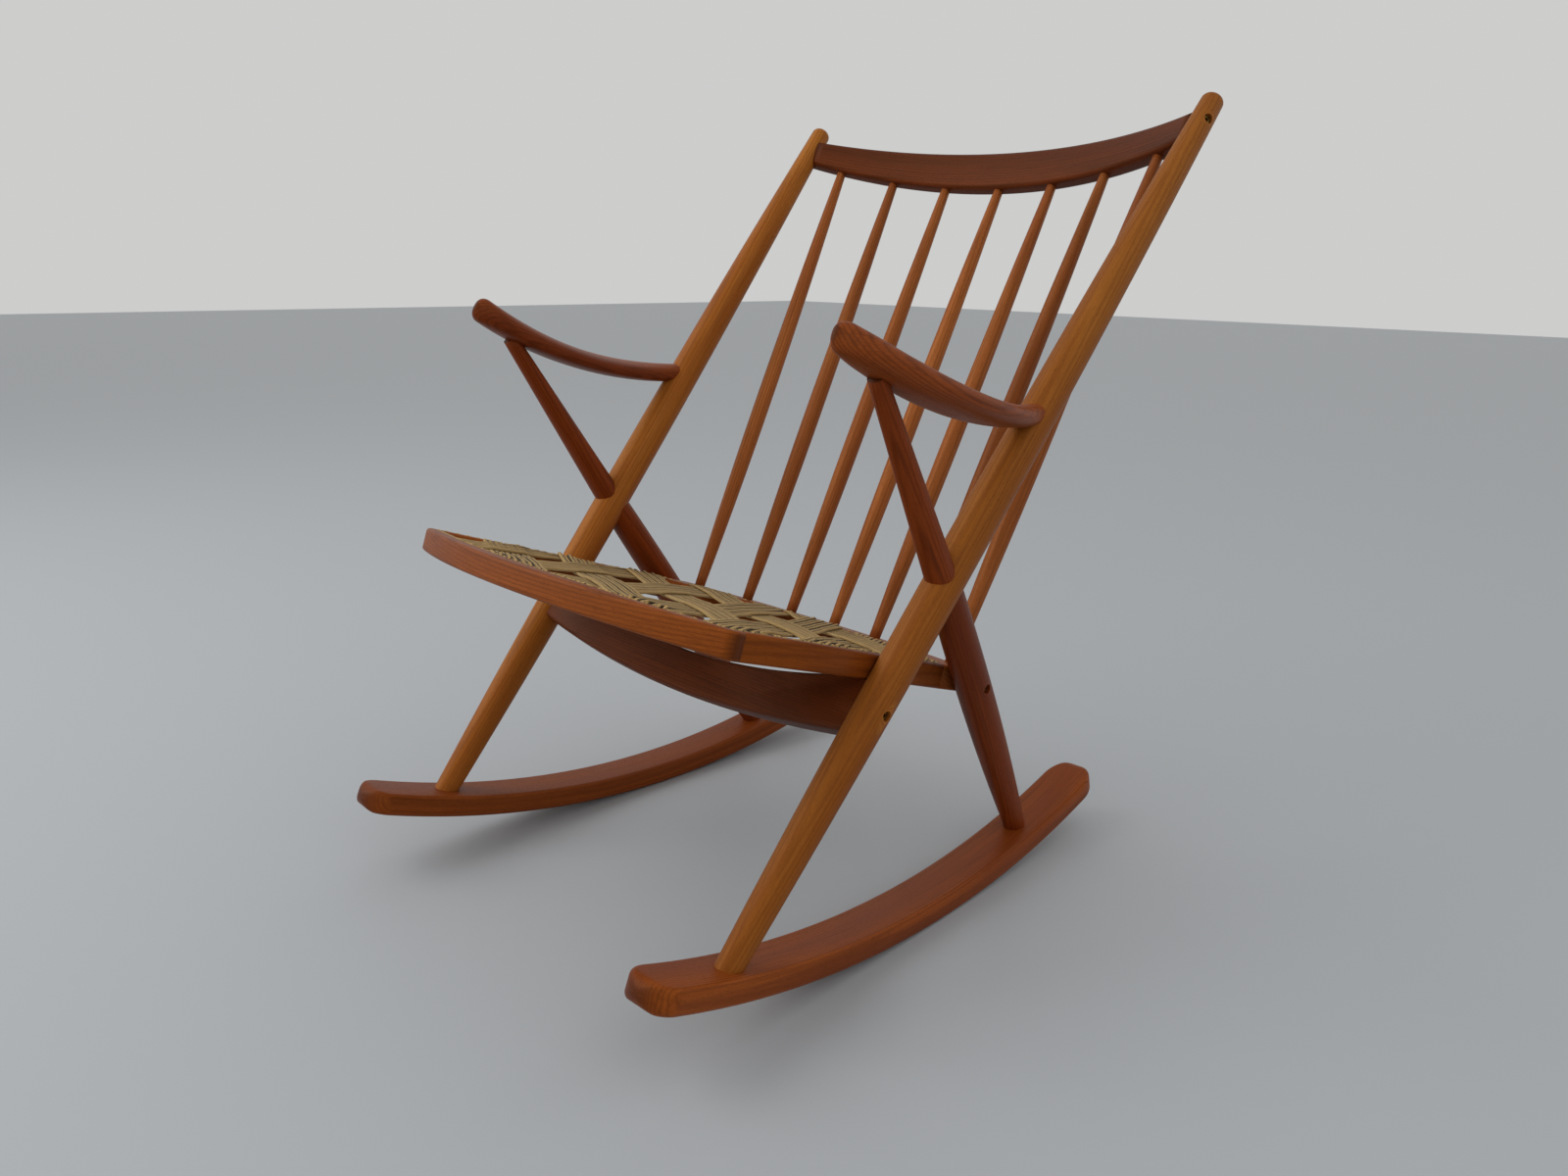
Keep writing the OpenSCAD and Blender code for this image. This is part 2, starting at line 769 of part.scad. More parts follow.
// Closed mat with the bands standing on it; its rim hangs in the groove
module cord_seat() {
    edge = groove_w / 2 - cord_gap;
    layer = cord_thick / 5;
    color("#a88a58")
        place()
            seat_plane() {
                difference() {
                    union() {
                        seat_plate(cord_gap, 2 * layer) cord_area(edge);
                        seat_plate(layer, 4 * layer)
                            intersection() {
                                cord_area(-cord_gap);
                                long_bands();
                            }
                        seat_plate(layer, 5 * layer)
                            intersection() {
                                cord_area(-2 * cord_gap);
                                cross_bands();
                            }
                    }
                    // the spindles stand clear of the cord
                    for (k = [0:3])
                        for (side = [0, 1])
                            mirror([side, 0, 0])
                                translate([spindle_foot_x[k], spindle_mid_v - sag(spindle_foot_x[k], spindle_r), -20])
                                    cylinder(h = 60, r = spindle_foot_r + 3);
                }
                seat_plate(-groove_deep + cord_gap, cord_gap + 1)
                    difference() {
                        cord_area(edge);
                        cord_area(-edge);
                    }
            }
}

module crest_bolts() {
    color("#b59a5a")
        for (side = [1, -1])
            place(side) at_crest_bolt() bolt(crest_bolt_r, crest_bolt_length);
}
module cross_rail_bolts() {
    color("#b59a5a")
        for (side = [1, -1])
            place(side) at_apron_bolt() bolt(apron_bolt_r, frame_bolt);
}
module seat_bolts() {
    color("#b59a5a")
        for (side = [1, -1])
            place(side) at_seat_bolt() bolt(seat_bolt_r, frame_bolt);
}

rocker(1);  // rocker_left
rocker(-1);  // rocker_right
front_post(1);  // front_post_left
front_post(-1);  // front_post_right
arm_support(1);  // arm_support_left
arm_support(-1);  // arm_support_right
back_leg(1);  // back_leg_left
back_leg(-1);  // back_leg_right
armrest(1);  // armrest_left
armrest(-1);  // armrest_right
crest_rail();
spindle(3, -1);  // spindle_1
spindle(2, -1);  // spindle_2
spindle(1, -1);  // spindle_3
spindle(0, 1);  // spindle_4
spindle(1, 1);  // spindle_5
spindle(2, 1);  // spindle_6
spindle(3, 1);  // spindle_7
seat_front_rail();
seat_back_rail();
seat_side_rail(1);  // seat_side_rail_left
seat_side_rail(-1);  // seat_side_rail_right
front_cross_rail();
cord_seat();
crest_bolts();
cross_rail_bolts();
seat_bolts();
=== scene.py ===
# %% [markdown]
# # A spindle-back rocking chair with a strung cord seat
#
# The chair is made of oiled teak: two turned posts lean back from bent rockers to a curved crest rail,
# seven slim spindles stand between the seat and the crest, and flat bands of twisted paper cord are
# strung over the seat frame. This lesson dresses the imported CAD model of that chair. Every wooden piece
# is built again as a smooth mesh, with its softened edges and with a grain that follows the piece,
# and the seat is laid cord by cord.
#
# Blender works in metres and the sizes of joinery are given in millimetres, so `MM` turns one into
# the other.

import math
import random

import bmesh
import bpy
import numpy as np
from mathutils import Matrix, Vector


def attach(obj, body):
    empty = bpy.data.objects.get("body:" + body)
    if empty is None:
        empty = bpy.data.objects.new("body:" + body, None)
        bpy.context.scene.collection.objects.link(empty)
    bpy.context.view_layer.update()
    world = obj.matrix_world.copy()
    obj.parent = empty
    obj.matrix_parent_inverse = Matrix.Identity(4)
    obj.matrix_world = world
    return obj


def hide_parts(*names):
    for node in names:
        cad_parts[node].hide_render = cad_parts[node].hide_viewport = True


MM = 0.001
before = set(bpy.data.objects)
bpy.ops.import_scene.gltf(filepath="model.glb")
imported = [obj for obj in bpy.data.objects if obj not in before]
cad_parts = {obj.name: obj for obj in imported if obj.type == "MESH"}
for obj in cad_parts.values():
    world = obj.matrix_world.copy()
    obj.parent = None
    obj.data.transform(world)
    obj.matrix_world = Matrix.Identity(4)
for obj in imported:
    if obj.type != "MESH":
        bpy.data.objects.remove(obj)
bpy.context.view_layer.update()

# %% [markdown]
# ## Where the chair stands
#
# The chair is drawn with the lowest point of the rockers' circle at the origin. An empty rocking chair
# rolls back a little, until its weight is above the spot where it touches the floor. Rolling is a turn
# about the centre of the rockers' circle, so one matrix lays every piece where the CAD has it. The seat
# frame has a matrix of its own on top, because its four rails lie in one plane that slopes backwards.

# %% Rest position and the planes of the parts
ROCKER_R = 1144 * MM
REST_LEAN = 1.9
REST_Y = 0.1 * MM
REST = (
    Matrix.Translation((0, REST_Y, ROCKER_R))
    @ Matrix.Rotation(math.radians(-REST_LEAN), 4, "X")
    @ Matrix.Translation((0, 0, -ROCKER_R))
)
SEAT_TOP = 305.4 * MM
SEAT_TILT = math.radians(17.2)
SEAT = REST @ Matrix.Translation((0, 0, SEAT_TOP)) @ Matrix.Rotation(-SEAT_TILT, 4, "X")

POST_FOOT = Vector((264.3, -285.8, 66)) * MM
POST_TOP = Vector((305.7, 376, 906.8)) * MM
CROSS = Vector((280.8, -22.5, 400.7)) * MM
SUPPORT_TOP = Vector((297.8, -160.9, 609.8)) * MM
LEG_FOOT = Vector((239.8, 218.3, 41)) * MM
OUTWARD = Vector((1, 0, 0))
SIDES = (("left", False), ("right", True))


def between(a, b, t):
    """The point at part t of the way from a to b."""
    return a + (b - a) * t


def part_below(a, b, drop):
    """Where the line from a to b is a given drop below the seat frame's top."""
    rise_a, rise_b = (p.y * math.sin(SEAT_TILT) + (p.z - SEAT_TOP) * math.cos(SEAT_TILT) for p in (a, b))
    return (-drop - rise_a) / (rise_b - rise_a)


APRON_PART = part_below(POST_FOOT, POST_TOP, 54.9 * MM)
CREST_PART = 0.9725
SEAT_PART = part_below(CROSS, LEG_FOOT, 14.2 * MM)
APRON_BOLT = between(POST_FOOT, POST_TOP, APRON_PART)
CREST_BOLT = between(POST_FOOT, POST_TOP, CREST_PART)
SEAT_BOLT = between(CROSS, LEG_FOOT, SEAT_PART)
print("post length in mm:", round((POST_TOP - POST_FOOT).length / MM))

# %% [markdown]
# ## Camera, floor and light
#
# The camera stands in front of the chair on the sitter's left, a little above the crest of the armrests.
# Its place and its angle come from fitting straight edges of known length to the photograph, and the
# focal length is worked out from the frame's 1600 pixels. The floor and the world are plain and pale,
# and two large area lamps give the soft light of a room with a wide window.

# %% Camera and studio
CAMERA_AT = Vector((981.4, -966.7, 715.5)) * MM
CAMERA_YAW, CAMERA_PITCH, CAMERA_ROLL = (math.radians(a) for a in (45.32, 15.63, -0.87))
FRAME_PX, FOCAL_PX, SENSOR = 1600, 1192.7, 36
FLOOR_HALF = 15.0
LAMPS = [
    ("window", (-1.9, -2.2, 2.6), 2.4, 46),
    ("fill", (2.6, -0.6, 2.2), 2.0, 8),
]
LAMP_AIM = Vector((0, 0, 0.4))


def linear(hex_colour):
    """An sRGB colour such as "#8a4a20" as linear RGBA."""
    parts = [int(hex_colour[i : i + 2], 16) / 255 for i in (1, 3, 5)]
    return [c / 12.92 if c <= 0.04045 else ((c + 0.055) / 1.055) ** 2.4 for c in parts] + [1.0]


def placed(name, data):
    """A new object that stands in the scene."""
    made = bpy.data.objects.new(name, data)
    bpy.context.collection.objects.link(made)
    return made


def node(material, kind, settings=None, links=None, values=None):
    """Adds one node to a material. settings are its own, links name sockets to join, values fill sockets."""
    made = material.node_tree.nodes.new(kind)
    for name, value in (settings or {}).items():
        setattr(made, name, value)
    for name, value in (values or {}).items():
        made.inputs[name].default_value = value
    for name, source in (links or {}).items():
        material.node_tree.links.new(source, made.inputs[name])
    return made


def surface(name, values):
    """A new material and its shader node, whose own sockets are filled with values."""
    material = bpy.data.materials.new(name)
    material.use_nodes = True
    shader = material.node_tree.nodes["Principled BSDF"]
    for socket, value in values.items():
        shader.inputs[socket].default_value = value
    return material, shader


forward = Vector((
    -math.sin(CAMERA_YAW) * math.cos(CAMERA_PITCH),
    math.cos(CAMERA_YAW) * math.cos(CAMERA_PITCH),
    -math.sin(CAMERA_PITCH),
))
level = Vector((math.cos(CAMERA_YAW), math.sin(CAMERA_YAW), 0))
down = forward.cross(level)
right = math.cos(CAMERA_ROLL) * level + math.sin(CAMERA_ROLL) * down
up = -(-math.sin(CAMERA_ROLL) * level + math.cos(CAMERA_ROLL) * down)

camera = placed("camera", bpy.data.cameras.new("camera"))
camera.matrix_world = Matrix.Translation(CAMERA_AT) @ Matrix((right, up, -forward)).transposed().to_4x4()
camera.data.sensor_width = SENSOR
camera.data.lens = SENSOR * FOCAL_PX / FRAME_PX
camera.data.clip_start = 0.05
bpy.context.scene.camera = camera
bpy.context.scene.view_settings.view_transform = "Standard"

floor_paint, _ = surface("pale painted floor", {"Base Color": linear("#b4b8bc"), "Roughness": 0.55})
floor_mesh = bpy.data.meshes.new("floor")
corners = [(x * FLOOR_HALF, y * FLOOR_HALF, 0) for x, y in ((-1, -1), (1, -1), (1, 1), (-1, 1))]
floor_mesh.from_pydata(corners, [], [(0, 1, 2, 3)])
floor_mesh.materials.append(floor_paint)
floor = placed("floor", floor_mesh)

world = bpy.data.worlds.new("pale room")
world.use_nodes = True
world.node_tree.nodes["Background"].inputs["Color"].default_value = linear("#e9e9e8")
world.node_tree.nodes["Background"].inputs["Strength"].default_value = 0.75
bpy.context.scene.world = world

for lamp_name, lamp_at, lamp_size, lamp_watts in LAMPS:
    lamp = placed(lamp_name, bpy.data.lights.new(lamp_name, "AREA"))
    lamp.data.size = lamp_size
    lamp.data.energy = lamp_watts
    lamp.location = lamp_at
    lamp.rotation_mode = "QUATERNION"
    lamp.rotation_quaternion = (LAMP_AIM - Vector(lamp_at)).to_track_quat("-Z", "Y")
print("lens in mm:", round(camera.data.lens, 2))

# %% [markdown]
# ## Steps of a finish
#
# A procedural finish is a small calculation that is done at every point of a surface. Each helper adds
# one step of it and gives back what the step works out: a stretched space, a noise, a sum, a value
# carried to another range, or a mixture of two colours. `join` leads the last steps to the shader.

# %% Helpers for materials
def attribute(material, name, socket="Fac"):
    """What the mesh carries under a name: a number, or three of them at the socket Vector."""
    return node(material, "ShaderNodeAttribute", {"attribute_name": name}).outputs[socket]


def stretched(material, space, scale, offset=(0, 0, 0)):
    """A space multiplied by a scale and then moved by an offset."""
    values = {"Scale": scale, "Location": offset}
    return node(material, "ShaderNodeMapping", links={"Vector": space}, values=values).outputs["Vector"]


def noise(material, space, detail, roughness=0.5, scale=1):
    """Soft noise from 0 to 1."""
    values = {"Scale": scale, "Detail": detail, "Roughness": roughness}
    return node(material, "ShaderNodeTexNoise", links={"Vector": space}, values=values).outputs["Fac"]


def maths(material, operation, *terms):
    """One sum. Each term is a number or the result of another step."""
    numbers = {i: term for i, term in enumerate(terms) if isinstance(term, float)}
    results = {i: term for i, term in enumerate(terms) if i not in numbers}
    return node(material, "ShaderNodeMath", {"operation": operation}, results, numbers).outputs[0]


def ramp(material, source, low, high, to_low=0.0, to_high=1.0):
    """A value carried from one range to another and held at its ends."""
    values = {"From Min": low, "From Max": high, "To Min": to_low, "To Max": to_high}
    return node(material, "ShaderNodeMapRange", links={"Value": source}, values=values).outputs["Result"]


def mixed(material, factor, a, b, how="MIX"):
    """A mixture of two colours. Each term is a constant or the result of another step."""
    made = node(material, "ShaderNodeMix", {"data_type": "RGBA", "blend_type": how})
    sockets = {i.name: i for i in made.inputs if i.enabled}
    for name, value in (("Factor", factor), ("A", a), ("B", b)):
        if isinstance(value, (list, float)):
            sockets[name].default_value = value
        else:
            material.node_tree.links.new(value, sockets[name])
    return [o for o in made.outputs if o.enabled][0]


def two_tones(material, source, *stops):
    """A colour that follows a value. A stop is a value and its sRGB colour."""
    made = node(material, "ShaderNodeValToRGB", links={"Fac": source})
    for i, (position, colour) in enumerate(stops):
        made.color_ramp.elements[i].position = position
        made.color_ramp.elements[i].color = linear(colour)
    return made.outputs["Color"]


def raised(material, height, strength, distance):
    """The direction in which the surface looks when it is raised by a height."""
    values = {"Strength": strength, "Distance": distance}
    return node(material, "ShaderNodeBump", links={"Height": height}, values=values).outputs["Normal"]


def join(material, shader, results):
    """Joins the results of steps to sockets of the shader."""
    for socket, result in results.items():
        material.node_tree.links.new(result, shader.inputs[socket])


print("materials so far:", len(bpy.data.materials))

# %% [markdown]
# ## Teak
#
# Teak is a straight-grained wood. Growth rings of 2 to 4 mm show as darker lines along a board, and the
# open pores show as fine dark dashes less than half a millimetre wide and some millimetres long.
# All of that runs along the wood's fibres, so the pattern isn't laid in the room's axes but in
# coordinates that each piece carries with it: two across the fibres and one along them. They are stored
# on the mesh as `grain`, and `end_grain` says where a surface cuts across the fibres. A bent rocker
# keeps its grain along the bend, as steam-bent or laminated wood does.
#
# Oil darkens teak unevenly and it reddens with age, so pieces cut from different boards differ: the
# posts are golden, the legs and the arm supports are a deep red-brown. The table of tones says how much
# darker than its kind a single piece is. On the near post, post_left, that darkening is mostly painted
# shade: the whole post is darkened for the shade that falls on its lower part.
#
# Fibres under the oil throw light back in the colour of the wood, so the sheen is warm and not white.
# Open pores scatter much of what a closed film would mirror, so there is less of it, too.

# %% Wood material
# how much darker each piece is than its kind: a board's own tone, but for post_left, the near post, mostly
# painted shade
BOARD_TONE_AND_SHADE = {
    "post_left": 0.55,
    "rocker_right": 0.45,
    "rocker_left": 0.15,
    "spindle_2": 0.35,
    "spindle_3": 0.2,
    "spindle_5": 0.1,
    "spindle_6": 0.5,
    "spindle_7": 0.3,
}
# sizes of the patterns, across the fibres and along them
BOARD_FIGURE = 60 * MM, 420 * MM
STREAK = 4 * MM, 160 * MM
FIBRE = 0.9 * MM, 30 * MM
PORE = 0.32 * MM, 5 * MM
# growth rings: how far apart, where the tree's heart lies, and how much slower they wander along a board
RING_PITCH = 3.2 * MM
HEART = (70 * MM, 25 * MM, 0)
RING_STRETCH = 30
# pitch of the wave texture's rings at a scale of 1
WAVE_PITCH = 314 * MM
PORE_TONE, WARM_SHEEN = "#1c0d07", "#ffc08e"


def teak(name, pale, mid, dark, roughness=0.46):
    """Oiled teak in three tones: pale early wood, mid tone and dark late wood."""
    sheen = {"IOR": 1.47, "Specular IOR Level": 0.3, "Specular Tint": linear(WARM_SHEEN)}
    wood, shader = surface(name, sheen)
    pale, mid, dark, pore_tone = (linear(colour) for colour in (pale, mid, dark, PORE_TONE))
    grain = attribute(wood, "grain", "Vector")

    def figure(size, detail, rough=0.5):
        across, along = size
        return noise(wood, stretched(wood, grain, (1 / across, 1 / across, 1 / along)), detail, rough)

    boards, streaks = figure(BOARD_FIGURE, 2), figure(STREAK, 3, 0.6)
    fibres, pores = figure(FIBRE, 3), figure(PORE, 1)
    wander = {"Distortion": 5.0, "Detail": 3.0, "Detail Scale": 0.6, "Detail Roughness": 0.6}
    rings = node(
        wood,
        "ShaderNodeTexWave",
        {"wave_type": "RINGS", "rings_direction": "Z"},
        {"Vector": stretched(wood, grain, (1, 1, 1 / RING_STRETCH), HEART)},
        {"Scale": WAVE_PITCH / RING_PITCH, **wander},
    ).outputs["Fac"]

    tone = mixed(wood, ramp(wood, boards, 0.35, 0.65), mid, pale)
    # each pattern darkens the wood from its low value to its high one, by `most` at the end
    for pattern, low, high, most in (
        (rings, 0.45, 1.0, 0.42),
        (streaks, 0.5, 0.75, 0.5),
        (fibres, 0.35, 0.7, 0.3),
        # the piece's own darker tone, which on the near post is mostly painted shade
        (attribute(wood, "board"), 0.0, 1.0, 0.8),
    ):
        tone = mixed(wood, ramp(wood, pattern, low, high, 0.0, most), tone, dark)
    pore = ramp(wood, pores, 0.6, 0.68)
    tone = mixed(wood, maths(wood, "MULTIPLY", pore, 0.45), tone, mixed(wood, 0.55, dark, pore_tone))
    # end grain drinks more oil and shows darker
    cut_across = ramp(wood, attribute(wood, "end_grain"), 0.15, 0.75, 0.0, 0.85)
    tone = mixed(wood, cut_across, tone, mixed(wood, 0.3, dark, pore_tone))

    dull = ramp(wood, boards, 0.3, 0.7, roughness - 0.06, roughness + 0.07)
    dull = maths(wood, "MULTIPLY_ADD", pore, 0.2, dull)
    normal = raised(wood, maths(wood, "SUBTRACT", fibres, pore), 0.35, 0.06 * MM)
    join(wood, shader, {"Base Color": tone, "Roughness": dull, "Normal": normal})
    return wood


TEAK = {
    "teak_rocker": teak("oiled teak, rockers", "#a1511b", "#873d13", "#5b260a"),
    "teak_golden": teak("oiled teak, golden posts", "#bb772e", "#9e591d", "#723a10"),
    "teak_dark": teak("oiled teak, dark legs", "#893c14", "#702c0c", "#461805"),
    "teak_arm": teak("oiled teak, armrests", "#94481d", "#763318", "#491b09", 0.4),
    "teak_crest": teak("oiled teak, curved rails", "#6c3011", "#53210a", "#341405"),
    "teak_spindle": teak("oiled teak, spindles", "#bb7038", "#9e562a", "#683516"),
    "teak_seat": teak("oiled teak, seat rails", "#9d511b", "#823f11", "#582609"),
}
print("teak finishes:", len(TEAK))

# %% [markdown]
# ## Helpers for wooden pieces
#
# Nearly every piece is a row of closed rings with a skin between them: round rings for turned parts,
# soft rectangles for bent ones. `ring_faces` gives that skin. `lay` stores the grain on the mesh and
# lays the piece with its matrix. Each piece gets its own offset into the grain from a seeded generator,
# so no two show the same figure and every run of the script gives the same chair.

# %% Rings, grain and counterbores
BORE_R, BORE_DEEP, BORE_CLEAR = 5.5 * MM, 8 * MM, 12 * MM
BORE_SIDES, BORE_CREASE = 32, math.radians(40)
GRAIN_ACROSS, GRAIN_ALONG = 0.04, 3
NEARLY_FLAT = 0.05
dice = random.Random(11)
pieces = {}


def store(mesh, name, values, kind="FLOAT", domain="POINT"):
    """Stores a number or a vector for every point or face corner of a mesh."""
    made = mesh.attributes.new(name, kind, domain)
    made.data.foreach_set("vector" if kind == "FLOAT_VECTOR" else "value", values)


def outwards(mesh):
    """Turns all faces of a closed mesh outwards."""
    shape = bmesh.new()
    shape.from_mesh(mesh)
    bmesh.ops.recalc_face_normals(shape, faces=shape.faces)
    shape.to_mesh(mesh)
    shape.free()


def end_grain(mesh, run):
    """For each corner of each face: 1 where it cuts across the fibres, 0 where it runs along them.

    run is each vertex's place along the fibres. On a face that runs along them it changes by 1 mm per mm.
    """
    run = np.array(run)
    points = np.array([v.co for v in mesh.vertices])
    faces = [list(face.vertices) for face in mesh.polygons]
    cut, total, count = [], np.zeros(len(points)), np.zeros(len(points))
    for face in faces:
        steps, gains = points[face] - points[face].mean(0), run[face] - run[face].mean()
        slope = np.linalg.lstsq(steps, gains, rcond=1e-3)[0]
        cut.append(max(0.0, 1 - np.linalg.norm(slope)))
        total[face] += cut[-1]
        count[face] += 1
    blended = total / np.maximum(count, 1)
    # flat sides and flat ends keep their own value, rounded ones blend
    return [
        blended[v] if NEARLY_FLAT <= value <= 1 - NEARLY_FLAT else value
        for face, value in zip(faces, cut)
        for v in face
    ]


def lay(name, verts, faces, grain, matrix, slot, nodes, mirrored=False):
    """Makes the mesh of a piece, stores its grain and lets it stand for its CAD nodes."""
    offset = Vector(dice.uniform(-most, most) for most in (GRAIN_ACROSS, GRAIN_ACROSS, GRAIN_ALONG))
    if mirrored:
        verts = [(-x, y, z) for x, y, z in verts]
        faces = [tuple(reversed(f)) for f in faces]
    mesh = bpy.data.meshes.new(name)
    mesh.from_pydata([tuple(matrix @ Vector(v)) for v in verts], [], faces)
    store(mesh, "grain", [c for g in grain for c in (Vector(g) + offset)], "FLOAT_VECTOR")
    store(mesh, "end_grain", end_grain(mesh, [g[2] for g in grain]), domain="CORNER")
    # each piece's darker tone: its board's own, and painted shade on the near post
    store(mesh, "board", [BOARD_TONE_AND_SHADE.get(name, 0.0)] * len(verts))
    outwards(mesh)
    mesh.shade_smooth()
    mesh.materials.append(TEAK[slot])
    piece = placed(name, mesh)
    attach(piece, "root")
    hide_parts(*nodes)
    pieces[name] = piece
    return piece


def ring_faces(rings, around):
    """The skin of a row of rings, closed at both ends."""
    faces = []
    for i in range(rings - 1):
        for j in range(around):
            here, beside = i * around + j, i * around + (j + 1) % around
            faces.append((here, beside, beside + around, here + around))
    return faces + [tuple(range(around - 1, -1, -1)), tuple(range((rings - 1) * around, rings * around))]


def drill(piece, at, way, outer):
    """Opens a counterbore in a turned piece of radius outer, from a point on its axis outwards along way."""
    side = way.cross(Vector((0, 0, 1))).normalized()
    other = way.cross(side)
    verts = [
        tuple(at + way * reach + (side * math.cos(a) + other * math.sin(a)) * BORE_R)
        for reach in (outer - BORE_DEEP, outer + BORE_CLEAR)
        for a in (2 * math.pi * k / BORE_SIDES for k in range(BORE_SIDES))
    ]
    mesh = bpy.data.meshes.new("drill")
    mesh.from_pydata(verts, [], ring_faces(2, BORE_SIDES))
    outwards(mesh)
    cutter = placed("drill", mesh)
    cutter.matrix_world = REST
    cut = piece.modifiers.new("counterbore", "BOOLEAN")
    cut.operation = "DIFFERENCE"
    cut.solver = "EXACT"
    cut.object = cutter
    seen = piece.evaluated_get(bpy.context.evaluated_depsgraph_get())
    drilled = bpy.data.meshes.new_from_object(seen)
    piece.modifiers.clear()
    piece.data = drilled
    drilled.set_sharp_from_angle(angle=BORE_CREASE)
    bpy.data.objects.remove(cutter)


print("counterbore diameter in mm:", round(2 * BORE_R / MM, 1))

# %% [markdown]
# ## Turned parts
#
# Posts, legs, arm supports and spindles come off a lathe. A post swells from 28 mm at the foot to 42 mm
# where the arm and the seat join it and thins to 26 mm under a domed top. The swelling is a parabola
# on each side of the thickest place, which is how a turner's eye draws it: no straight stretch and no
# kink. The ends run on into the piece that carries them, where the real ones have round tenons.

# %% Turn the posts, legs, supports and spindles
AROUND = 40
# radius at the foot, at the thickest place and at the top, and the part of the length where it is thickest
POST_R = (14 * MM, 21 * MM, 13 * MM, 0.44)
LEG_R = (18 * MM, 20 * MM, 12.5 * MM, 0.34)
SPINDLE_R = (6.75 * MM, 11 * MM, 6 * MM, 0.42)
SUPPORT_FOOT_R, SUPPORT_TOP_R, SUPPORT_IN = 17 * MM, 9 * MM, 4 * MM
# parts of the length: below 0 or above 1 a bar runs on inside the piece that carries it
POST_FROM, LEG_TO, SPINDLE_FROM, SPINDLE_TO = -0.02, 1.03, -0.008, 1.012
POST_RINGS, LEG_RINGS, SUPPORT_RINGS, SPINDLE_RINGS = 56, 40, 24, 34
DOME = 9 * MM
CREST_RAKE = math.radians(28)
CREST_BEND = 670 * MM
CREST_HEIGHT, CREST_THICK = 54.5 * MM, 22 * MM
CREST_BOLT_UP = 30.3 * MM
CREST_CROWN, CREST_ARCH, CREST_SPAN = 10.5 * MM, 7.3 * MM, CREST_BOLT.x - 12.5 * MM
SPINDLE_FOOT_X = (0, 74, 146, 219.5)
SPINDLE_TOP_X = (0, 86, 170, 251.5)
SPINDLE_RING, SPINDLE_MID = 590 * MM, 130 * MM


def swell(t, foot, middle, top, at):
    """Radius at part t of a bar that is thickest at part at."""
    t = max(t, 0)
    if t < at:
        return middle - (middle - foot) * ((at - t) / at) ** 2
    return middle - (middle - top) * ((t - at) / (1 - at)) ** 2


def turned(name, a, b, profile, slot, nodes, mirrored=False):
    """A lathe-turned bar from a to b. profile is a list of (distance from a, radius)."""
    axis = (b - a).normalized()
    side = axis.cross(OUTWARD).normalized()
    other = axis.cross(side)
    verts, grain = [], []
    for s, r in profile:
        for k in range(AROUND):
            angle = 2 * math.pi * k / AROUND
            p, q = r * math.cos(angle), r * math.sin(angle)
            verts.append(tuple(a + axis * s + side * p + other * q))
            grain.append((p, q, s))
    return lay(name, verts, ring_faces(len(profile), AROUND), grain, REST, slot, nodes, mirrored)


def sag(x, bend):
    """How far a circle of radius bend has dropped at x from its top."""
    return bend - math.sqrt(bend * bend - x * x)


def from_crest(x, back, up_along):
    """A vector given in the crest rail's directions: across, back and up its lean."""
    c, s = math.cos(CREST_RAKE), math.sin(CREST_RAKE)
    return Vector((x, back * c + up_along * s, -back * s + up_along * c))


crest_turn = math.asin(CREST_BOLT.x / CREST_BEND)
CREST_WAY = from_crest(math.cos(crest_turn), -math.sin(crest_turn), 0)
CREST_MID = CREST_BOLT - from_crest(CREST_BOLT.x, -sag(CREST_BOLT.x, CREST_BEND), CREST_BOLT_UP)


def crest_point(x, out, up_along):
    """A point of the crest rail: out is across its thickness, up_along is up the lean."""
    turn = math.asin(x / CREST_BEND)
    reach = CREST_BEND + out
    return CREST_MID + from_crest(reach * math.sin(turn), reach * math.cos(turn) - CREST_BEND, up_along)


def seat_point(u, v):
    """A point of the seat's plane in drawn coordinates: u across, v backwards."""
    return Vector((u, v * math.cos(SEAT_TILT), SEAT_TOP - v * math.sin(SEAT_TILT)))


post_length = (POST_TOP - POST_FOOT).length
post_profile = [(post_length * t, swell(t, *POST_R)) for t in np.linspace(POST_FROM, 1, POST_RINGS)]
for a in np.radians([*range(10, 90, 10), 89]):
    post_profile.append((post_length + DOME * math.sin(a), POST_R[2] * math.cos(a)))
leg_length = (LEG_FOOT - CROSS).length
leg_profile = [(leg_length * t, swell(t, *LEG_R)) for t in np.linspace(0, LEG_TO, LEG_RINGS)]
support_length = (SUPPORT_TOP - CROSS).length + SUPPORT_IN
support_taper = SUPPORT_TOP_R - SUPPORT_FOOT_R
support_parts = np.linspace(0, 1, SUPPORT_RINGS)
support_profile = [(support_length * t, SUPPORT_FOOT_R + support_taper * t) for t in support_parts]

BARS = [
    ("post", POST_FOOT, POST_TOP, post_profile, "teak_golden", "front_post"),
    ("leg", CROSS, LEG_FOOT, leg_profile, "teak_dark", "back_leg"),
    ("support", CROSS, SUPPORT_TOP, support_profile, "teak_dark", "arm_support"),
]
BORES = [
    ("post", APRON_BOLT, OUTWARD, swell(APRON_PART, *POST_R)),
    ("post", CREST_BOLT, CREST_WAY, swell(CREST_PART, *POST_R)),
    ("leg", SEAT_BOLT, OUTWARD, swell(SEAT_PART, *LEG_R)),
]
for side_name, mirrored in SIDES:
    flip = Matrix.Scale(-1 if mirrored else 1, 4, OUTWARD)
    for kind, a, b, profile, slot, cad_node in BARS:
        turned(f"{kind}_{side_name}", a, b, profile, slot, [f"{cad_node}_{side_name}"], mirrored)
    for kind, at, way, outer in BORES:
        drill(pieces[f"{kind}_{side_name}"], flip @ at, flip @ way, outer)

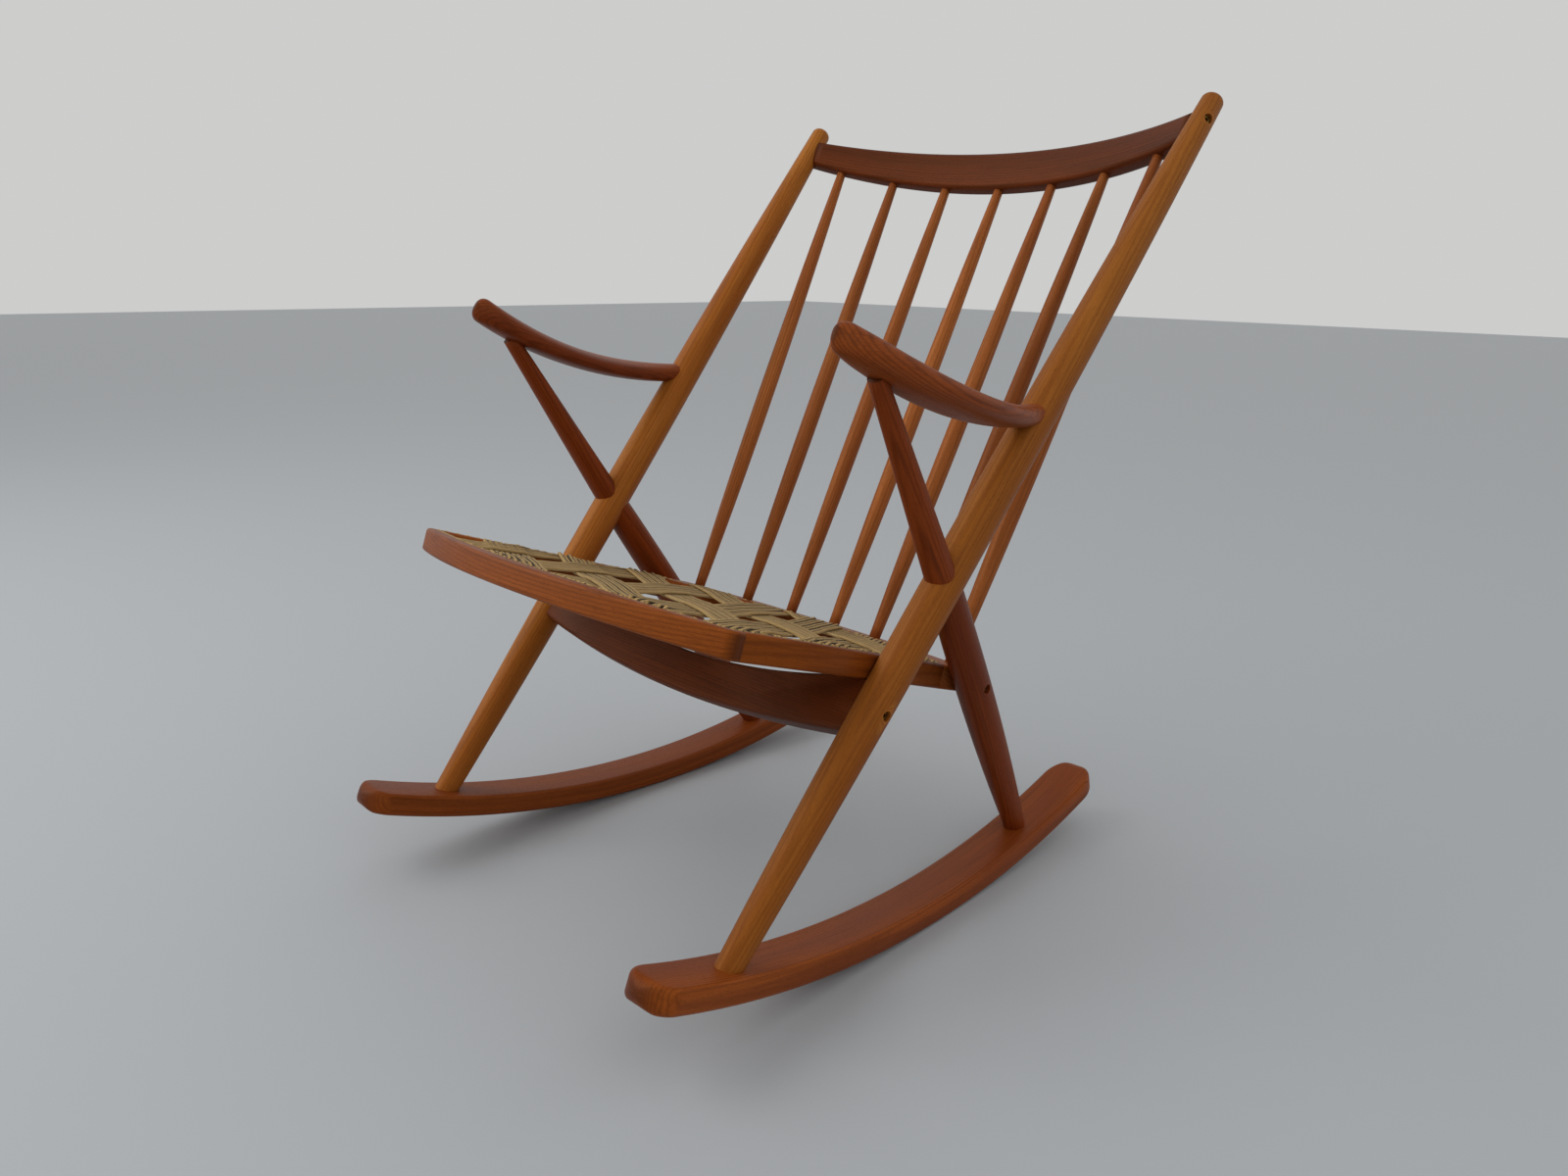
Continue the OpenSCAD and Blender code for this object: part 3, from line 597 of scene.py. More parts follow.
spindle_parts = np.linspace(SPINDLE_FROM, SPINDLE_TO, SPINDLE_RINGS)
for number in range(1, 8):
    k = abs(number - 4)
    x0, x1 = SPINDLE_FOOT_X[k] * MM, SPINDLE_TOP_X[k] * MM
    foot = seat_point(x0, SPINDLE_MID - sag(x0, SPINDLE_RING))
    head = crest_point(x1, 0, CREST_ARCH * (x1 / CREST_SPAN) ** 2)
    length = (head - foot).length
    profile = [(length * t, swell(t, *SPINDLE_R)) for t in spindle_parts]
    turned(f"spindle_{number}", foot, head, profile, "teak_spindle", [f"spindle_{number}"], number < 4)
print("turned pieces:", len(pieces))

# %% [markdown]
# ## Rockers
#
# A rocker is a flat bar, 60 mm wide and 27 mm thick, bent to a radius of 1144 mm. The ends are rounded
# in plan like a thumb, the back one longer than the front one, and their edges are rounded over. It is
# a sweep along the bend: at each station the half width and half thickness are known, and both close
# towards the ends.

# %% Bend the rockers
ROCKER_W, ROCKER_T, ROCKER_EDGE, ROCKER_NOSE = 60 * MM, 27 * MM, 6.5 * MM, 26 * MM
ROCKER_X, ROCKER_TOE = 249 * MM, math.radians(2.3)
ROCKER_FRONT, ROCKER_BACK = 400 * MM, 372 * MM
# lengths over which the width closes in front and at the back, and the thickness at both ends
NOSE_REACH, TAIL_REACH, THIN_REACH = 29 * MM, 40 * MM, 13 * MM
BLUNT_TIP = 0.15 * MM
END_RINGS, BEND_RINGS = 22, 60


def soft_rectangle(half_w, half_t, edge, steps=7):
    """Points round a rectangle with rounded corners, anticlockwise."""
    edge = min(edge, half_w, half_t)
    flat_w, flat_t = half_w - edge, half_t - edge
    points = []
    for cx, cy, start in ((1, 1, 0), (-1, 1, 90), (-1, -1, 180), (1, -1, 270)):
        for k in range(steps + 1):
            a = math.radians(start + 90 * k / steps)
            points.append((cx * flat_w + edge * math.cos(a), cy * flat_t + edge * math.sin(a)))
    return points


def closing(distance, length):
    """1 away from an end, falling to 0 at the end along a quarter circle."""
    return math.sqrt(max(0.0, 1 - (1 - min(distance / length, 1)) ** 2))


mid_r = ROCKER_R - ROCKER_T / 2
s_front = -mid_r * math.asin((ROCKER_FRONT - ROCKER_NOSE) / mid_r) - ROCKER_NOSE
s_back = mid_r * math.asin((ROCKER_BACK - ROCKER_NOSE) / mid_r) + ROCKER_NOSE
end_turns = np.radians(np.linspace(0, 90, END_RINGS))
end_steps = [TAIL_REACH * (1 - math.cos(a)) + BLUNT_TIP for a in end_turns]
stations = [s_front + d for d in end_steps]
stations += list(np.linspace(stations[-1], s_back - end_steps[-1], BEND_RINGS)[1:-1])
stations += [s_back - d for d in reversed(end_steps)]
for side_name, mirrored in SIDES:
    verts, grain = [], []
    for s in stations:
        from_end = min(s - s_front, s_back - s)
        half_t = ROCKER_T / 2 * closing(from_end, THIN_REACH)
        half_w = ROCKER_W / 2 * closing(from_end, NOSE_REACH if s < 0 else TAIL_REACH)
        a = s / mid_r
        ring = soft_rectangle(half_w, half_t, ROCKER_EDGE)
        for p, q in ring:
            r = mid_r - q
            y, z = r * math.sin(a), ROCKER_R - r * math.cos(a)
            x = ROCKER_X + p * math.cos(ROCKER_TOE) - y * math.sin(ROCKER_TOE)
            verts.append((x, p * math.sin(ROCKER_TOE) + y * math.cos(ROCKER_TOE), z))
            grain.append((p, q, s))
    name = f"rocker_{side_name}"
    lay(name, verts, ring_faces(len(stations), len(ring)), grain, REST, "teak_rocker", [name], mirrored)
print("rocker length in mm:", round((s_back - s_front) / MM))

# %% [markdown]
# ## Armrests
#
# An armrest is carved, not turned: it starts narrow at the post, swells to a hand's width, and ends in
# a blunt nose, while its middle line climbs in a slow curve and its outer edge lifts. Its section is a
# soft oval. The straight inner edge is kept straight: only the outer side bulges.

# %% Carve the armrests
ARM_INNER_X, ARM_FRONT_Y, ARM_BACK_Y, ARM_BACK_Z, ARM_RISE = (v * MM for v in (277, -214, 91, 567.5, 84.5))
ARM_HALF_W = [v * MM for v in (14.5, 32, 15)]
ARM_HALF_T = [v * MM for v in (11.5, 12.6, 15)]
ARM_ROLL = math.radians(6.5)
# part of the length over which the tip closes, and how blunt it is: in width, then in thickness
ARM_TIP_W, ARM_TIP_T = (0.14, 2.2), (0.045, 2.6)
ARM_TIP_LEFT = 0.0002
ARM_IN_POST = 0.05
ARM_STOPS, ARM_RING = 72, 48
SOFT_OVAL = 0.83


def bow(values, u):
    """A parabola through three values at u = 0, 1/2 and 1."""
    a, b, c = values
    return a + (4 * b - 3 * a - c) * u + 2 * (a + c - 2 * b) * u * u


def tip(u, length, power):
    """How much of the section is left near the front tip."""
    if u < 1 - length:
        return 1.0
    return math.sqrt(max(ARM_TIP_LEFT, 1 - ((u - 1 + length) / length) ** power))


arm_turns = np.radians(np.linspace(0, 90, ARM_STOPS))
for side_name, mirrored in SIDES:
    verts, grain = [], []
    for u in (-ARM_IN_POST + (1 + ARM_IN_POST) * math.sin(a) for a in arm_turns):
        held = max(u, 0)
        w, h = bow(ARM_HALF_W, held), bow(ARM_HALF_T, held)
        y = ARM_BACK_Y + u * (ARM_FRONT_Y - ARM_BACK_Y)
        centre = Vector((ARM_INNER_X + w, y, ARM_BACK_Z + ARM_RISE * held * held))
        slope = 2 * ARM_RISE * held / (ARM_FRONT_Y - ARM_BACK_Y)
        normal = Vector((0, -slope, 1)).normalized()
        across = OUTWARD * math.cos(ARM_ROLL) + normal * math.sin(ARM_ROLL)
        upright = normal * math.cos(ARM_ROLL) - OUTWARD * math.sin(ARM_ROLL)
        w, h = w * tip(u, *ARM_TIP_W), h * tip(u, *ARM_TIP_T)
        for k in range(ARM_RING):
            a = 2 * math.pi * k / ARM_RING
            p = math.copysign(abs(math.cos(a)) ** SOFT_OVAL, math.cos(a)) * w
            q = math.copysign(abs(math.sin(a)) ** SOFT_OVAL, math.sin(a)) * h
            verts.append(tuple(centre + across * p + upright * q))
            grain.append((p, q, y))
    name = f"armrest_{side_name}"
    lay(name, verts, ring_faces(ARM_STOPS, ARM_RING), grain, REST, "teak_arm", [name], mirrored)
print("armrest vertices:", len(verts))

# %% [markdown]
# ## Crest rail
#
# The crest is a board 22 mm thick, bent to a radius of 670 mm so that it holds the shoulders. Its top edge
# drops and its bottom edge rises towards the posts. The long edges are rounded over for the neck.

# %% Bend the crest rail
CREST_END, CREST_EDGE, CREST_RINGS = CREST_BOLT.x - 8.5 * MM, 7 * MM, 61
verts, grain = [], []
for x in np.linspace(-CREST_END, CREST_END, CREST_RINGS):
    part = (x / CREST_SPAN) ** 2
    low, high = CREST_ARCH * part, CREST_HEIGHT - CREST_CROWN * part
    ring = soft_rectangle(CREST_THICK / 2, (high - low) / 2, CREST_EDGE)
    for p, q in ring:
        verts.append(tuple(crest_point(x, p, (low + high) / 2 + q)))
        grain.append((p, q, x))
lay("crest", verts, ring_faces(CREST_RINGS, len(ring)), grain, REST, "teak_crest", ["crest_rail"])
print("crest vertices:", len(verts))

# %% [markdown]
# ## Seat frame and cross rail
#
# The seat's four rails and the cross rail below them are sawn from boards, so each is an outline with a
# thickness. Their long edges are eased with a small round. Where two rails meet, the edges of the joint
# stay sharp, so `board` takes a set of edges that aren't eased. It stacks rings of the outline, moved
# inwards along a quarter circle near each face.

# %% Boards with eased edges
SEAT_HALF, SEAT_TAPER = 253.6 * MM, 0.0555
RAIL_H, SIDE_T, RAIL_EDGE = 27 * MM, 22 * MM, 4 * MM
FRONT_OUT, FRONT_OUT_R, FRONT_IN, FRONT_IN_R = (v * MM for v in (-368, 677, -334, 820))
BACK_IN, BACK_IN_R, BACK_OUT, BACK_OUT_R = (v * MM for v in (96, 430, 144, 604))
CORNER_R, JOINT_BEHIND, BACK_JOINT, BACK_CORNER = (v * MM for v in (13, 7, 31, 90))
APRON_T, APRON_END, APRON_EDGE = 24 * MM, APRON_BOLT.x - 8 * MM, 5 * MM
APRON_TOP, APRON_TOP_R, APRON_LOW, APRON_LOW_R = (v * MM for v in (-8, 802, -54, 1469))
APRON_STOPS = 49
EDGE_TURNS = np.radians(np.linspace(0, 90, 7))
FACE_INSET = 0.4 * MM
RINGS_LIE = 0.3
NEARLY_STRAIGHT = 0.02
ARC_STEPS, HALF_ARC_STEPS, CORNER_STEPS = 40, 22, 10


def side_x(v):
    """Outer side of the seat frame at a place along the seat."""
    return SEAT_HALF - SEAT_TAPER * v


def arc(cx, cy, r, a0, a1, n):
    """Points of an arc, angles in degrees."""
    return [(cx + r * math.cos(a), cy + r * math.sin(a)) for a in np.radians(np.linspace(a0, a1, n + 1))]


def eased(outline, sharp, inset):
    """The outline moved inwards by inset, apart from its sharp edges."""
    n = len(outline)
    moved = []
    for i in range(n):
        before, here, after = (Vector(outline[j % n]) for j in (i - 1, i, i + 1))
        lines = []
        for a, b, edge in ((before, here, (i - 1) % n), (here, after, i)):
            along = (b - a).normalized()
            out = Vector((along.y, -along.x))
            lines.append((out, out.dot(here) - (0 if edge in sharp else inset)))
        (n1, d1), (n2, d2) = lines
        det = n1.x * n2.y - n1.y * n2.x
        if abs(det) < NEARLY_STRAIGHT:
            moved.append(here - (n1 + n2).normalized() * ((n1.dot(here) - d1) + (n2.dot(here) - d2)) / 2)
        else:
            moved.append(Vector(((d1 * n2.y - d2 * n1.y) / det, (n1.x * d2 - n2.x * d1) / det)))
    return moved


def board(name, outline, sharp, low, high, edge, matrix, slot, nodes, grain_of, mirrored=False):
    """A sawn board: an outline between two heights, with its long edges eased. grain_of gives its grain."""
    levels = [(edge * (1 - math.sin(a)), low + edge * (1 - math.cos(a))) for a in EDGE_TURNS]
    levels += [(edge * (1 - math.cos(a)), high - edge * (1 - math.sin(a))) for a in EDGE_TURNS]
    levels = [(levels[0][0] + FACE_INSET, low), *levels, (levels[-1][0] + FACE_INSET, high)]
    verts, grain = [], []
    for inset, z in levels:
        for p in eased(outline, sharp, inset):
            verts.append((p.x, p.y, z))
            grain.append(grain_of(p.x, p.y, z))
    return lay(name, verts, ring_faces(len(levels), len(outline)), grain, matrix, slot, nodes, mirrored)


def flat_along_x(x, y, z):
    """Grain of a flat-sawn rail that runs across the chair: rings lie one above the other."""
    return (z, RINGS_LIE * y, x)


def flat_along_y(x, y, z):
    """Grain of a flat-sawn rail that runs from front to back."""
    return (z, RINGS_LIE * x, y)


def upright_along_x(x, y, z):
    """Grain of an upright rail that runs across the chair."""
    return (y, z, x)


def seat_rail(name, outline, sharp, grain_of, mirrored=False):
    """A rail of the seat frame. Its CAD node has the same name with seat_ before it."""
    nodes = [f"seat_{name}"]
    board(name, outline, sharp, -RAIL_H, 0, RAIL_EDGE, SEAT, "teak_seat", nodes, grain_of, mirrored)


# The corner's round touches the front curve and the side. The side tapers, so where it is depends on
# where the corner is, and two steps settle both.
centre_out = FRONT_OUT + FRONT_OUT_R
corner_y = FRONT_OUT
for _ in range(2):
    corner_y = centre_out - math.sqrt((FRONT_OUT_R - CORNER_R) ** 2 - (side_x(corner_y) - CORNER_R) ** 2)
FRONT_JOINT = corner_y + JOINT_BEHIND
corner_x = side_x(corner_y) - CORNER_R * math.sqrt(1 + SEAT_TAPER**2)
a_front = math.degrees(math.atan2(corner_y - centre_out, corner_x))
a_side = math.degrees(math.atan(SEAT_TAPER))
inner_x = side_x(FRONT_JOINT) - SIDE_T
a_in = math.degrees(math.asin(inner_x / FRONT_IN_R))
half = arc(0, centre_out, FRONT_OUT_R, -90, a_front, HALF_ARC_STEPS)
half += arc(corner_x, corner_y, CORNER_R, a_front, a_side, CORNER_STEPS)[1:]
half += [(side_x(FRONT_JOINT), FRONT_JOINT), (inner_x, FRONT_JOINT)]
inner_arc = arc(0, FRONT_IN + FRONT_IN_R, FRONT_IN_R, -90 + a_in, -90 - a_in, ARC_STEPS)
front_outline = half + inner_arc[1:-1]
front_outline += [(-x, y) for x, y in reversed(half[1:])]
front_joints = {len(half) - 2, len(front_outline) - (len(half) - 1)}
seat_rail("front_rail", front_outline, front_joints, flat_along_x)

back_inner = side_x(BACK_JOINT) - SIDE_T
b_in = math.degrees(math.asin(back_inner / BACK_IN_R))
back_outer = side_x(BACK_OUT - sag(side_x(BACK_CORNER), BACK_OUT_R))
b_out = math.degrees(math.asin(back_outer / BACK_OUT_R))
back_outline = arc(0, BACK_OUT - BACK_OUT_R, BACK_OUT_R, 90 - b_out, 90 + b_out, ARC_STEPS)
back_joint = len(back_outline)
back_outline += [(-side_x(BACK_JOINT), BACK_JOINT), (-back_inner, BACK_JOINT)]
back_outline += arc(0, BACK_IN - BACK_IN_R, BACK_IN_R, 90 + b_in, 90 - b_in, ARC_STEPS)[1:-1]
back_outline += [(back_inner, BACK_JOINT), (side_x(BACK_JOINT), BACK_JOINT)]
seat_rail("back_rail", back_outline, {back_joint, len(back_outline) - 2}, flat_along_x)

side_outline = [
    (side_x(FRONT_JOINT) - SIDE_T, FRONT_JOINT),
    (side_x(FRONT_JOINT), FRONT_JOINT),
    (side_x(BACK_JOINT), BACK_JOINT),
    (side_x(BACK_JOINT) - SIDE_T, BACK_JOINT),
]
for side_name, mirrored in SIDES:
    seat_rail(f"side_rail_{side_name}", side_outline, {0, 2}, flat_along_y, mirrored)

post_lean = math.atan2(POST_TOP.y - POST_FOOT.y, POST_TOP.z - POST_FOOT.z)
apron_plane = (
    REST
    @ Matrix.Translation((0, APRON_BOLT.y, APRON_BOLT.z))
    @ Matrix.Rotation(-post_lean, 4, "X")
    @ Matrix.Rotation(math.radians(90), 4, "X")
)
apron_xs = np.linspace(-APRON_END, APRON_END, APRON_STOPS)
lower = [(x, APRON_LOW + sag(x, APRON_LOW_R)) for x in apron_xs]
upper = [(x, APRON_TOP + sag(x, APRON_TOP_R)) for x in reversed(apron_xs)]
apron = board(
    "cross_rail",
    lower + upper,
    {APRON_STOPS - 1, 2 * APRON_STOPS - 1},
    -APRON_T / 2,
    APRON_T / 2,
    APRON_EDGE,
    apron_plane,
    "teak_crest",
    ["front_cross_rail"],
    upright_along_x,
)
print("boards laid, pieces so far:", len(pieces))

# %% [markdown]
# The cross rail's upper corners meet the underside of the seat rails and are cut flush there, so it is
# trimmed with the plane of that underside.

# %% Trim the cross rail under the seat
TRIM_CREASE = math.radians(50)
plane_at = SEAT @ Vector((0, 0, -RAIL_H))
plane_up = SEAT.to_3x3() @ Vector((0, 0, 1))
shape = bmesh.new()
shape.from_mesh(apron.data)
everything = shape.verts[:] + shape.edges[:] + shape.faces[:]
cut = bmesh.ops.bisect_plane(shape, geom=everything, plane_co=plane_at, plane_no=plane_up, clear_outer=True)
rim = [e for e in cut["geom_cut"] if isinstance(e, bmesh.types.BMEdge)]
bmesh.ops.contextual_create(shape, geom=rim)
shape.to_mesh(apron.data)
shape.free()
apron.data.set_sharp_from_angle(angle=TRIM_CREASE)
print("cross rail faces:", len(apron.data.polygons))

# %% [markdown]
# ## Cord seat
#
# The seat is strung with twisted paper cord, which its own tension and years of sitting have pressed
# flat to 5.7 by 3.5 mm. It is strung in pairs, because each pull brings a doubled cord across. Four
# pairs make a band, and two sets of bands slant across the seat and pass over and under each other.
# Every cord ends in a groove that runs round the tops of the rails.
#
# The path of each cord in plan is a straight line. Its height is found by a small relaxation: wherever
# two cords cross, the upper one has to be a cord's thickness above the lower one, and between crossings
# each cord is pulled straight by its tension. A few hundred rounds of both settle the weave.

# %% Lines of the cords in plan
CORD_HALF_W, CORD_HALF_H = 2.85 * MM, 1.75 * MM
CORD_PITCH, PAIR_PITCH = 5.75 * MM, 13.4 * MM
PAIRS = 4
GROOVE_IN = 10 * MM
# a band's middle line is drawn so far beyond its ends and tried at so many places; fewer than the last
# number inside the groove make no cord
BEYOND, TRIED, FEWEST = 90 * MM, 900, 30
LONG_BANDS = [
    ((-150, -321), (-236, -172)),
    ((-45, -333), (-232, -15)),
    ((60, -331), (-165, 62)),
    ((165, -316), (-72, 90)),
    ((238, -278), (12, 96)),
    ((237, -136), (105, 84)),
    ((235, 0), (195, 60)),
]
CROSS_BANDS = [
    ((-40, -333), (-236, -225)),
    ((142, -322), (-232, -117)),
    ((236, -255), (-232, -7)),
    ((236, -145), (-220, 90)),
    ((234, -40), (0, 92)),
]


def in_groove(u, v):
    """How far a point lies inside the groove's middle line; negative outside."""
    front = FRONT_IN_R + GROOVE_IN - math.hypot(u, v - (FRONT_IN + FRONT_IN_R))
    back = BACK_IN_R + GROOVE_IN - math.hypot(u, v - (BACK_IN - BACK_IN_R))
    sides = side_x(v) - SIDE_T + GROOVE_IN - abs(u)
    return min(front, back, sides)


def strand(a, b, shift):
    """The part of a line, moved sideways by shift, that lies inside the groove."""
    a, b = Vector(a) * MM, Vector(b) * MM
    along = (b - a).normalized()
    across = Vector((-along.y, along.x))
    a, b = a - along * BEYOND + across * shift, b + along * BEYOND + across * shift
    inside = [t for t in np.linspace(0, 1, TRIED) if in_groove(*(a + (b - a) * t)) >= 0]
    if len(inside) < FEWEST:
        return None
    return a + (b - a) * inside[0], a + (b - a) * inside[-1]


lines = []
for family, bands in enumerate((LONG_BANDS, CROSS_BANDS)):
    for number, (a, b) in enumerate(bands):
        for c in range(2 * PAIRS):
            pair, second = divmod(c, 2)
            ends = strand(a, b, (pair - (PAIRS - 1) / 2) * PAIR_PITCH + (second - 0.5) * CORD_PITCH)
            if ends is not None:
                lines.append((family, number, c, *ends))
print("cords:", len(lines), "metres in the bands:", round(sum((b - a).length for *_, a, b in lines), 1))

# %% Heights of the cords
SAMPLES, ROUNDS = 64, 400
AT_ENDS, DEEPEST_DIP, DIP_PART = -0.3 * MM, 3.5 * MM, 0.008
# crossing cords press into each other a little, and each round pulls a cord so much towards its rest
PRESSED, TENSION = 0.94, 0.02
rest_height = np.full((len(lines), SAMPLES), AT_ENDS)
part = np.linspace(0, 1, SAMPLES)
for i, (*_, a, b) in enumerate(lines):
    dip = min(DEEPEST_DIP, DIP_PART * (b - a).length)
    rest_height[i] -= dip * 4 * part * (1 - part)
height = rest_height.copy()

crossings = []
for i, (f, m, _, a, b) in enumerate(lines):
    for j, (g, n, _, c, d) in enumerate(lines):
        if f == 0 and g == 1:
            r, s = b - a, d - c
            det = r.x * s.y - r.y * s.x
            t = ((c.x - a.x) * s.y - (c.y - a.y) * s.x) / det
            q = ((c.x - a.x) * r.y - (c.y - a.y) * r.x) / det
            if 0 <= t <= 1 and 0 <= q <= 1:
                crossings.append((j, q, i, t) if (m + n) % 2 else (i, t, j, q))
over, t_over, under, t_under = (np.array(c) for c in zip(*crossings))
over, under = over.astype(int), under.astype(int)
GAP = 2 * CORD_HALF_H * PRESSED


def place_of(t):
    """Index of the sample before t, and how far t is past it."""
    x = np.clip(t * (SAMPLES - 1), 0, SAMPLES - 1.001)
    return x.astype(int), x - x.astype(int)


i_over, w_over = place_of(t_over)
i_under, w_under = place_of(t_under)
for _ in range(ROUNDS):
    smooth = height.copy()
    smooth[:, 1:-1] = 0.5 * height[:, 1:-1] + 0.25 * (height[:, :-2] + height[:, 2:])
    height = smooth + TENSION * (rest_height - smooth)
    top = height[over, i_over] * (1 - w_over) + height[over, i_over + 1] * w_over
    low = height[under, i_under] * (1 - w_under) + height[under, i_under + 1] * w_under
    short = np.maximum(0, GAP - (top - low)) * 0.5
    for rows, index, weight, sign in ((over, i_over, w_over, 1), (under, i_under, w_under, -1)):
        push, count = np.zeros_like(height), np.full_like(height, 1e-6)
        for shift, amount in ((0, 1 - weight), (1, weight)):
            np.add.at(push, (rows, index + shift), sign * short * amount)
            np.add.at(count, (rows, index + shift), amount * (short > 0))
        height += push / np.maximum(count, 1)
lowest, highest = ((edge / MM).round(1) for edge in (height.min(), height.max()))
print("crossings:", len(crossings), "height range in mm:", lowest, highest)

# %% [markdown]
# The cord itself is three plies of brown paper twisted together. Its mesh is a plain tube, and the twist
# is painted and raised by the material from three coordinates stored on the tube as `twist`: the cosine
# and sine of the turn round it, and the length along it with a number that differs from cord to cord.
# `seam` says how near a point is to the neighbouring cord, where dust and shade gather.
#
# Short loops lie one behind the other in the groove and cover where the cords turn down.

# %% Build the cords and the loops in the groove
CORD_SIDES, END_SIZE = 10, 0.55
# how a cord's ends turn down into the groove: millimetres outwards and down
DIVE = ((2.6, 4.6), (2.0, 2.2), (1.0, 0.6))
CORD_MARK, LOOP_MARK, LOOP_MARK_FROM = 0.613, 0.377, 100
LOOP_LENGTH, LOOP_PITCH = 10.5 * MM, 13.5 * MM
LOOP_HALF_W, LOOP_HALF_H = 2.2 * MM, 1.3 * MM
LOOP_LIFT = (-2.4, -1.0, -0.4, -0.3, -0.4, -1.0, -2.4)
SEAT_MIDDLE, SEAT_REACH = Vector((0, -115 * MM)), 0.5
DIRECTIONS, HALVINGS = 1440, 30
verts, faces, twist, seam = [], [], [], []


def tube(points, half_w, half_h, mark, touches=(0, 0)):
    """Adds a flattened tube along points to the cord lists. touches says where it meets a neighbour."""
    n = len(points)
    base = len(verts)
    run = 0.0
    for i, p in enumerate(points):
        ahead = (points[min(i + 1, n - 1)] - points[max(i - 1, 0)]).normalized()
        side = ahead.cross(Vector((0, 0, 1))).normalized()
        top = side.cross(ahead)
        if i:
            run += (p - points[i - 1]).length
        full = END_SIZE if i in (0, n - 1) else 1.0
        for k in range(CORD_SIDES):
            a = 2 * math.pi * k / CORD_SIDES
            wide, high = full * half_w * math.cos(a), full * half_h * math.sin(a)
            verts.append(tuple(p + side * wide + top * high))
            twist.append((math.cos(a), math.sin(a), run + mark))
            seam.append(max(0, math.cos(a)) * touches[0] + max(0, -math.cos(a)) * touches[1])
    faces.extend(tuple(base + v for v in f) for f in ring_faces(n, CORD_SIDES))


for i, (_, _, c, a, b) in enumerate(lines):
    points = [Vector((*(a + (b - a) * t), z)) for t, z in zip(part, height[i])]
    along = (b - a).normalized()
    start = [Vector((*(a - along * d * MM), points[0].z - z * MM)) for d, z in DIVE]
    end = [Vector((*(b + along * d * MM), points[-1].z - z * MM)) for d, z in reversed(DIVE)]
    touches = (int(c > 0), int(c < 2 * PAIRS - 1))
    tube(start + points + end, CORD_HALF_W, CORD_HALF_H, i * CORD_MARK, touches)

# the groove's middle line, found by halving in every direction from the middle of the seat
rim = []
for a in np.linspace(0, 2 * math.pi, DIRECTIONS + 1)[:-1]:
    out = Vector((math.cos(a), math.sin(a)))
    near, far = 0.0, SEAT_REACH
    for _ in range(HALVINGS):
        middle = (near + far) / 2
        if in_groove(*(SEAT_MIDDLE + out * middle)) > 0:
            near = middle
        else:
            far = middle
    rim.append(SEAT_MIDDLE + out * near)
spots, walked = [rim[0]], 0.0
for p, q in zip(rim, rim[1:]):
    walked += (q - p).length
    if walked >= LOOP_PITCH:
        spots.append(q)
        walked = 0.0
for k, p in enumerate(spots):
    along = (spots[(k + 1) % len(spots)] - p).normalized()
    points = [Vector((*(p + along * LOOP_LENGTH * (s / 6 - 0.5)), z * MM)) for s, z in enumerate(LOOP_LIFT)]
    tube(points, LOOP_HALF_W, LOOP_HALF_H, LOOP_MARK_FROM + k * LOOP_MARK)
print("cord faces:", len(faces), "loops in the groove:", len(spots))

# %% [markdown]
# The material winds the plies round the cord: a sine of the turn and the length gives their bulges, and
# the valleys between them get painted shade. The flanks that face a neighbouring cord get painted shade
# too, darkest at the side that faces it. Slow noise along the cord ages it in patches from straw to
# brown, and fine noise roughs up its surface like the fluff on old paper.

# %% Cord material
PLY_PITCH, PLY_TURNS = 4.6 * MM, 1.5
AGEING_SCALE, FLUFF_SCALE = (2.2, 2.2, 40), (7, 7, 900)

